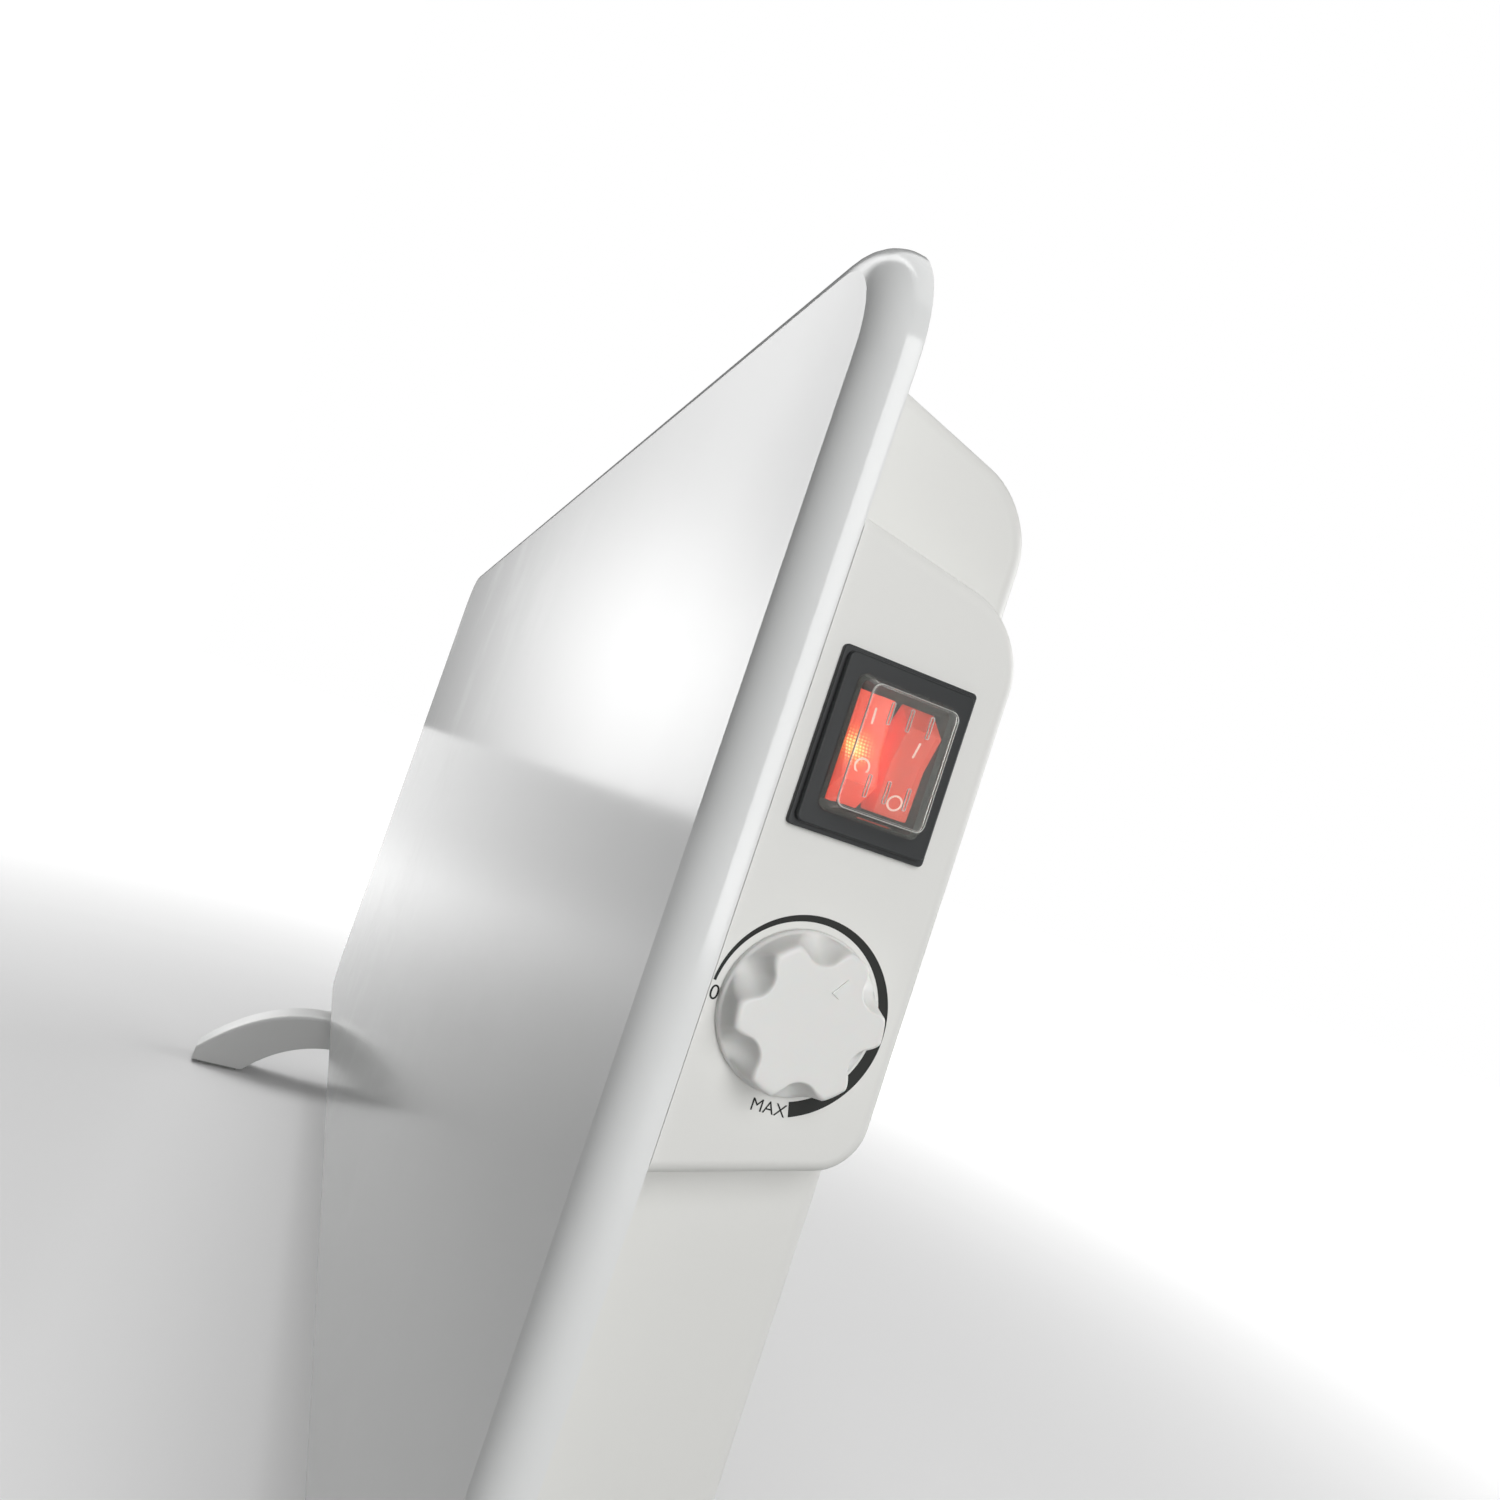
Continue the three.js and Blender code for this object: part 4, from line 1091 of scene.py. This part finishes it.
def foot_lower():
    """The lower line, from the rear to the front."""
    half, top, sole = FOOT_ARCH["half"], FOOT_ARCH["top"], FOOT["sole"]
    rising = curve_points((half, sole), (FOOT_ARCH["shoulder"], top), (0, top), 14)
    return rising + [(-y, z) for y, z in reversed(rising[:-1])]


def build_foot(name):
    low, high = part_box(name)
    reach = high.y / MM
    points = foot_upper(reach) + [(reach, FOOT["sole"])] + foot_lower() + [(-reach, FOOT["sole"])]
    bm = bmesh.new()
    face = outline(bm, [Vector((low.x, y * MM, z * MM)) for y, z in points])
    pull(bm, [face], Vector((high.x - low.x, 0, 0)))
    bmesh.ops.recalc_face_normals(bm, faces=bm.faces)
    upper = [edge for level in (low.x, high.x) for edge in edges_at(bm, 0, level)
             if all(vert.co.z > (FOOT["sole"] + 0.5) * MM for vert in edge.verts)
             and any(face.normal.z > 0.2 for face in edge.link_faces)]
    soften(bm, upper, 3.2 * MM, segments=6)
    piece = finish_piece(f"{name}_arch", bm, foot_paint, "heater", [name],
                         smooth_angle=40)
    wall = FOOT["wall"]
    hollow = bmesh.new()
    inner = [(y, z) for y, z in foot_upper(reach, lowered=wall) if abs(y) < FOOT_ARCH["half"] - 5]
    side = [(inner[0][0], -20)] + inner + [(inner[-1][0], -20)]
    face = outline(hollow, [Vector((low.x + wall * MM, y * MM, z * MM)) for y, z in side])
    pull(hollow, [face], Vector((high.x - low.x - 2 * wall * MM, 0, 0)))
    carve(piece, hollow)
    even_normals(piece)


for foot_name in ("foot_left", "foot_right"):
    build_foot(foot_name)

# %% [markdown]
# ## Finishes for the pieces that stay as they are
# The pieces inside, and the plain pieces outside, already have their true shape in the packed
# model. Each keeps its mesh and takes the finish of its material slot.

# %% Finishes by slot
# The rocker_red slot takes the finish of the rocker that is off, with its painted glow.
SLOT_FINISH = {
    "panel_paint": panel_paint, "casing_paint": casing_paint, "foot_paint": foot_paint,
    "housing_plastic": housing_plastic, "knob_plastic": knob_plastic,
    "black_plastic": black_plastic, "clear_cover": clear_cover, "rocker_red": rocker_off_painted_glow,
    "lamp_glass": lamp_glass, "zinc_steel": zinc_steel, "core_steel": core_primer,
    "brass_metal": brass_metal, "pad_rubber": pad_rubber, "wire_brown": wire_brown,
    "wire_blue": wire_blue,
}
for entry in frame["record"]["subparts"]:
    node = frame["nodes"][entry["node"]]
    node.data.materials.clear()
    node.data.materials.append(SLOT_FINISH[entry["material_slot"]])

# %% [markdown]
# ## The stage
# The heater stands on a plain pale floor, in soft studio light. One broad light stands beyond the
# control end and lights everything that faces it. A second is high up beyond the left end: it
# grazes the panel, so the rolled edge turns out of it and shows its shape. Weaker lights fill
# the front, the back and the top, so that the heater reads from every side. The floor is one pale
# shade that turns white with distance from the heater, and it throws less light on the heater
# than it shows. The surround is dim, with one pale side and one round glow in it, which the
# glossy paint mirrors as a bright patch.

# %% Floor
FLOOR_SHADE = 0.78
FLOOR_DIMMING = 0.58  # off the shade, for the light that it throws
FLOOR_FADE = (0.4, 2.0)  # metres from the heater
FLOOR_GLOW = 0.95


def build_floor():
    bm = bmesh.new()
    bmesh.ops.create_grid(bm, x_segments=1, y_segments=1, size=30.0)
    mesh = bpy.data.meshes.new("floor")
    bm.to_mesh(mesh)
    bm.free()
    floor = add_object("floor", mesh)
    material, tree, shader = new_material("floor_pale")
    shader.inputs["Roughness"].default_value = 0.9
    shader.inputs["Emission Color"].default_value = (1, 1, 1, 1)
    bounce = add_node(tree, "ShaderNodeLightPath").outputs["Is Diffuse Ray"]
    dimmed = calculate(tree, "MULTIPLY", bounce, FLOOR_DIMMING)
    shade = calculate(tree, "SUBTRACT", FLOOR_SHADE, dimmed)
    tree.links.new(shade, shader.inputs["Base Color"])
    far = ramp(tree, distance_from(tree, (0, 0, 0)), *FLOOR_FADE)
    shown = calculate(tree, "SUBTRACT", 1.0, bounce)
    pale = calculate(tree, "MULTIPLY", calculate(tree, "MULTIPLY", far, shown), FLOOR_GLOW)
    tree.links.new(pale, shader.inputs["Emission Strength"])
    mesh.materials.append(material)


build_floor()


# %% Lights
def soft_light(name, place, target, width, height, radiance):
    """An area light of a given brightness, which stays the same whatever its size."""
    data = bpy.data.lights.new(name, "AREA")
    data.shape = "RECTANGLE"
    data.size = width
    data.size_y = height
    data.energy = radiance * math.pi * width * height
    light = add_object(name, data)
    light.location = place
    light.rotation_euler = (Vector(target) - Vector(place)).to_track_quat("-Z", "Y").to_euler()
    return light


soft_light("end_light", (1.62, 0.0, 0.72), (0.43, 0.0, 0.33), 0.7, 1.2, 5.3)
graze_light = soft_light("graze_light", (-1.26, -0.56, 1.86), (0.2, -0.03, 0.3), 1.5, 1.0, 4.3)
graze_light.visible_glossy = False
soft_light("top_light", (0.0, 0.3, 2.4), (0.0, 0.0, 0.3), 2.4, 1.2, 1.0)
soft_light("back_light", (-0.2, 2.4, 1.0), (0, 0, 0.3), 2.2, 1.2, 3.2)
soft_light("front_light", (0.1, -2.6, 0.9), (0, 0, 0.3), 2.0, 1.2, 0.3)


# %% World
GLOW_DIRECTION = (-0.959, -0.263, 0.102)
DIM_LEVEL = 0.04


def surround(tree, direction):
    """How bright the surround is in a direction: one pale side with a round glow, dim elsewhere."""
    parts = add_node(tree, "ShaderNodeSeparateXYZ")
    tree.links.new(direction, parts.inputs["Vector"])
    turn = calculate(tree, "ARCTAN2", calculate(tree, "MULTIPLY", parts.outputs["Y"], -1.0),
                     calculate(tree, "MULTIPLY", parts.outputs["X"], -1.0))
    rise = ramp(tree, turn, math.radians(3.0), math.radians(6.5))
    fall = ramp(tree, turn, math.radians(26), math.radians(19))
    nearer = calculate(tree, "MULTIPLY", ramp(tree, turn, math.radians(5), math.radians(17)), 1.7)
    pale = calculate(tree, "MULTIPLY", calculate(tree, "MULTIPLY", rise, fall),
                     calculate(tree, "ADD", nearer, 0.85))
    aim = add_node(tree, "ShaderNodeVectorMath", operation="DOT_PRODUCT")
    tree.links.new(direction, aim.inputs[0])
    aim.inputs[1].default_value = GLOW_DIRECTION
    away = calculate(tree, "ARCCOSINE", aim.outputs["Value"])
    glow = ramp(tree, away, math.radians(14), math.radians(0.5))
    bright = calculate(tree, "MULTIPLY", calculate(tree, "POWER", glow, 1.6), 1.1)
    return calculate(tree, "ADD", calculate(tree, "ADD", pale, bright), DIM_LEVEL)


def build_world():
    """White behind the heater, and a dim surround with one pale side for the paint to mirror."""
    world = bpy.data.worlds.new("studio")
    bpy.context.scene.world = world
    world.use_nodes = True
    tree = world.node_tree
    background = tree.nodes["Background"]
    background.inputs["Color"].default_value = (1, 1, 1, 1)
    direction = add_node(tree, "ShaderNodeTexCoord").outputs["Generated"]
    level = surround(tree, direction)
    seen = add_node(tree, "ShaderNodeLightPath").outputs["Is Camera Ray"]
    tree.links.new(calculate(tree, "MAXIMUM", level, seen), background.inputs["Strength"])


build_world()
bpy.context.scene.view_settings.view_transform = "Standard"
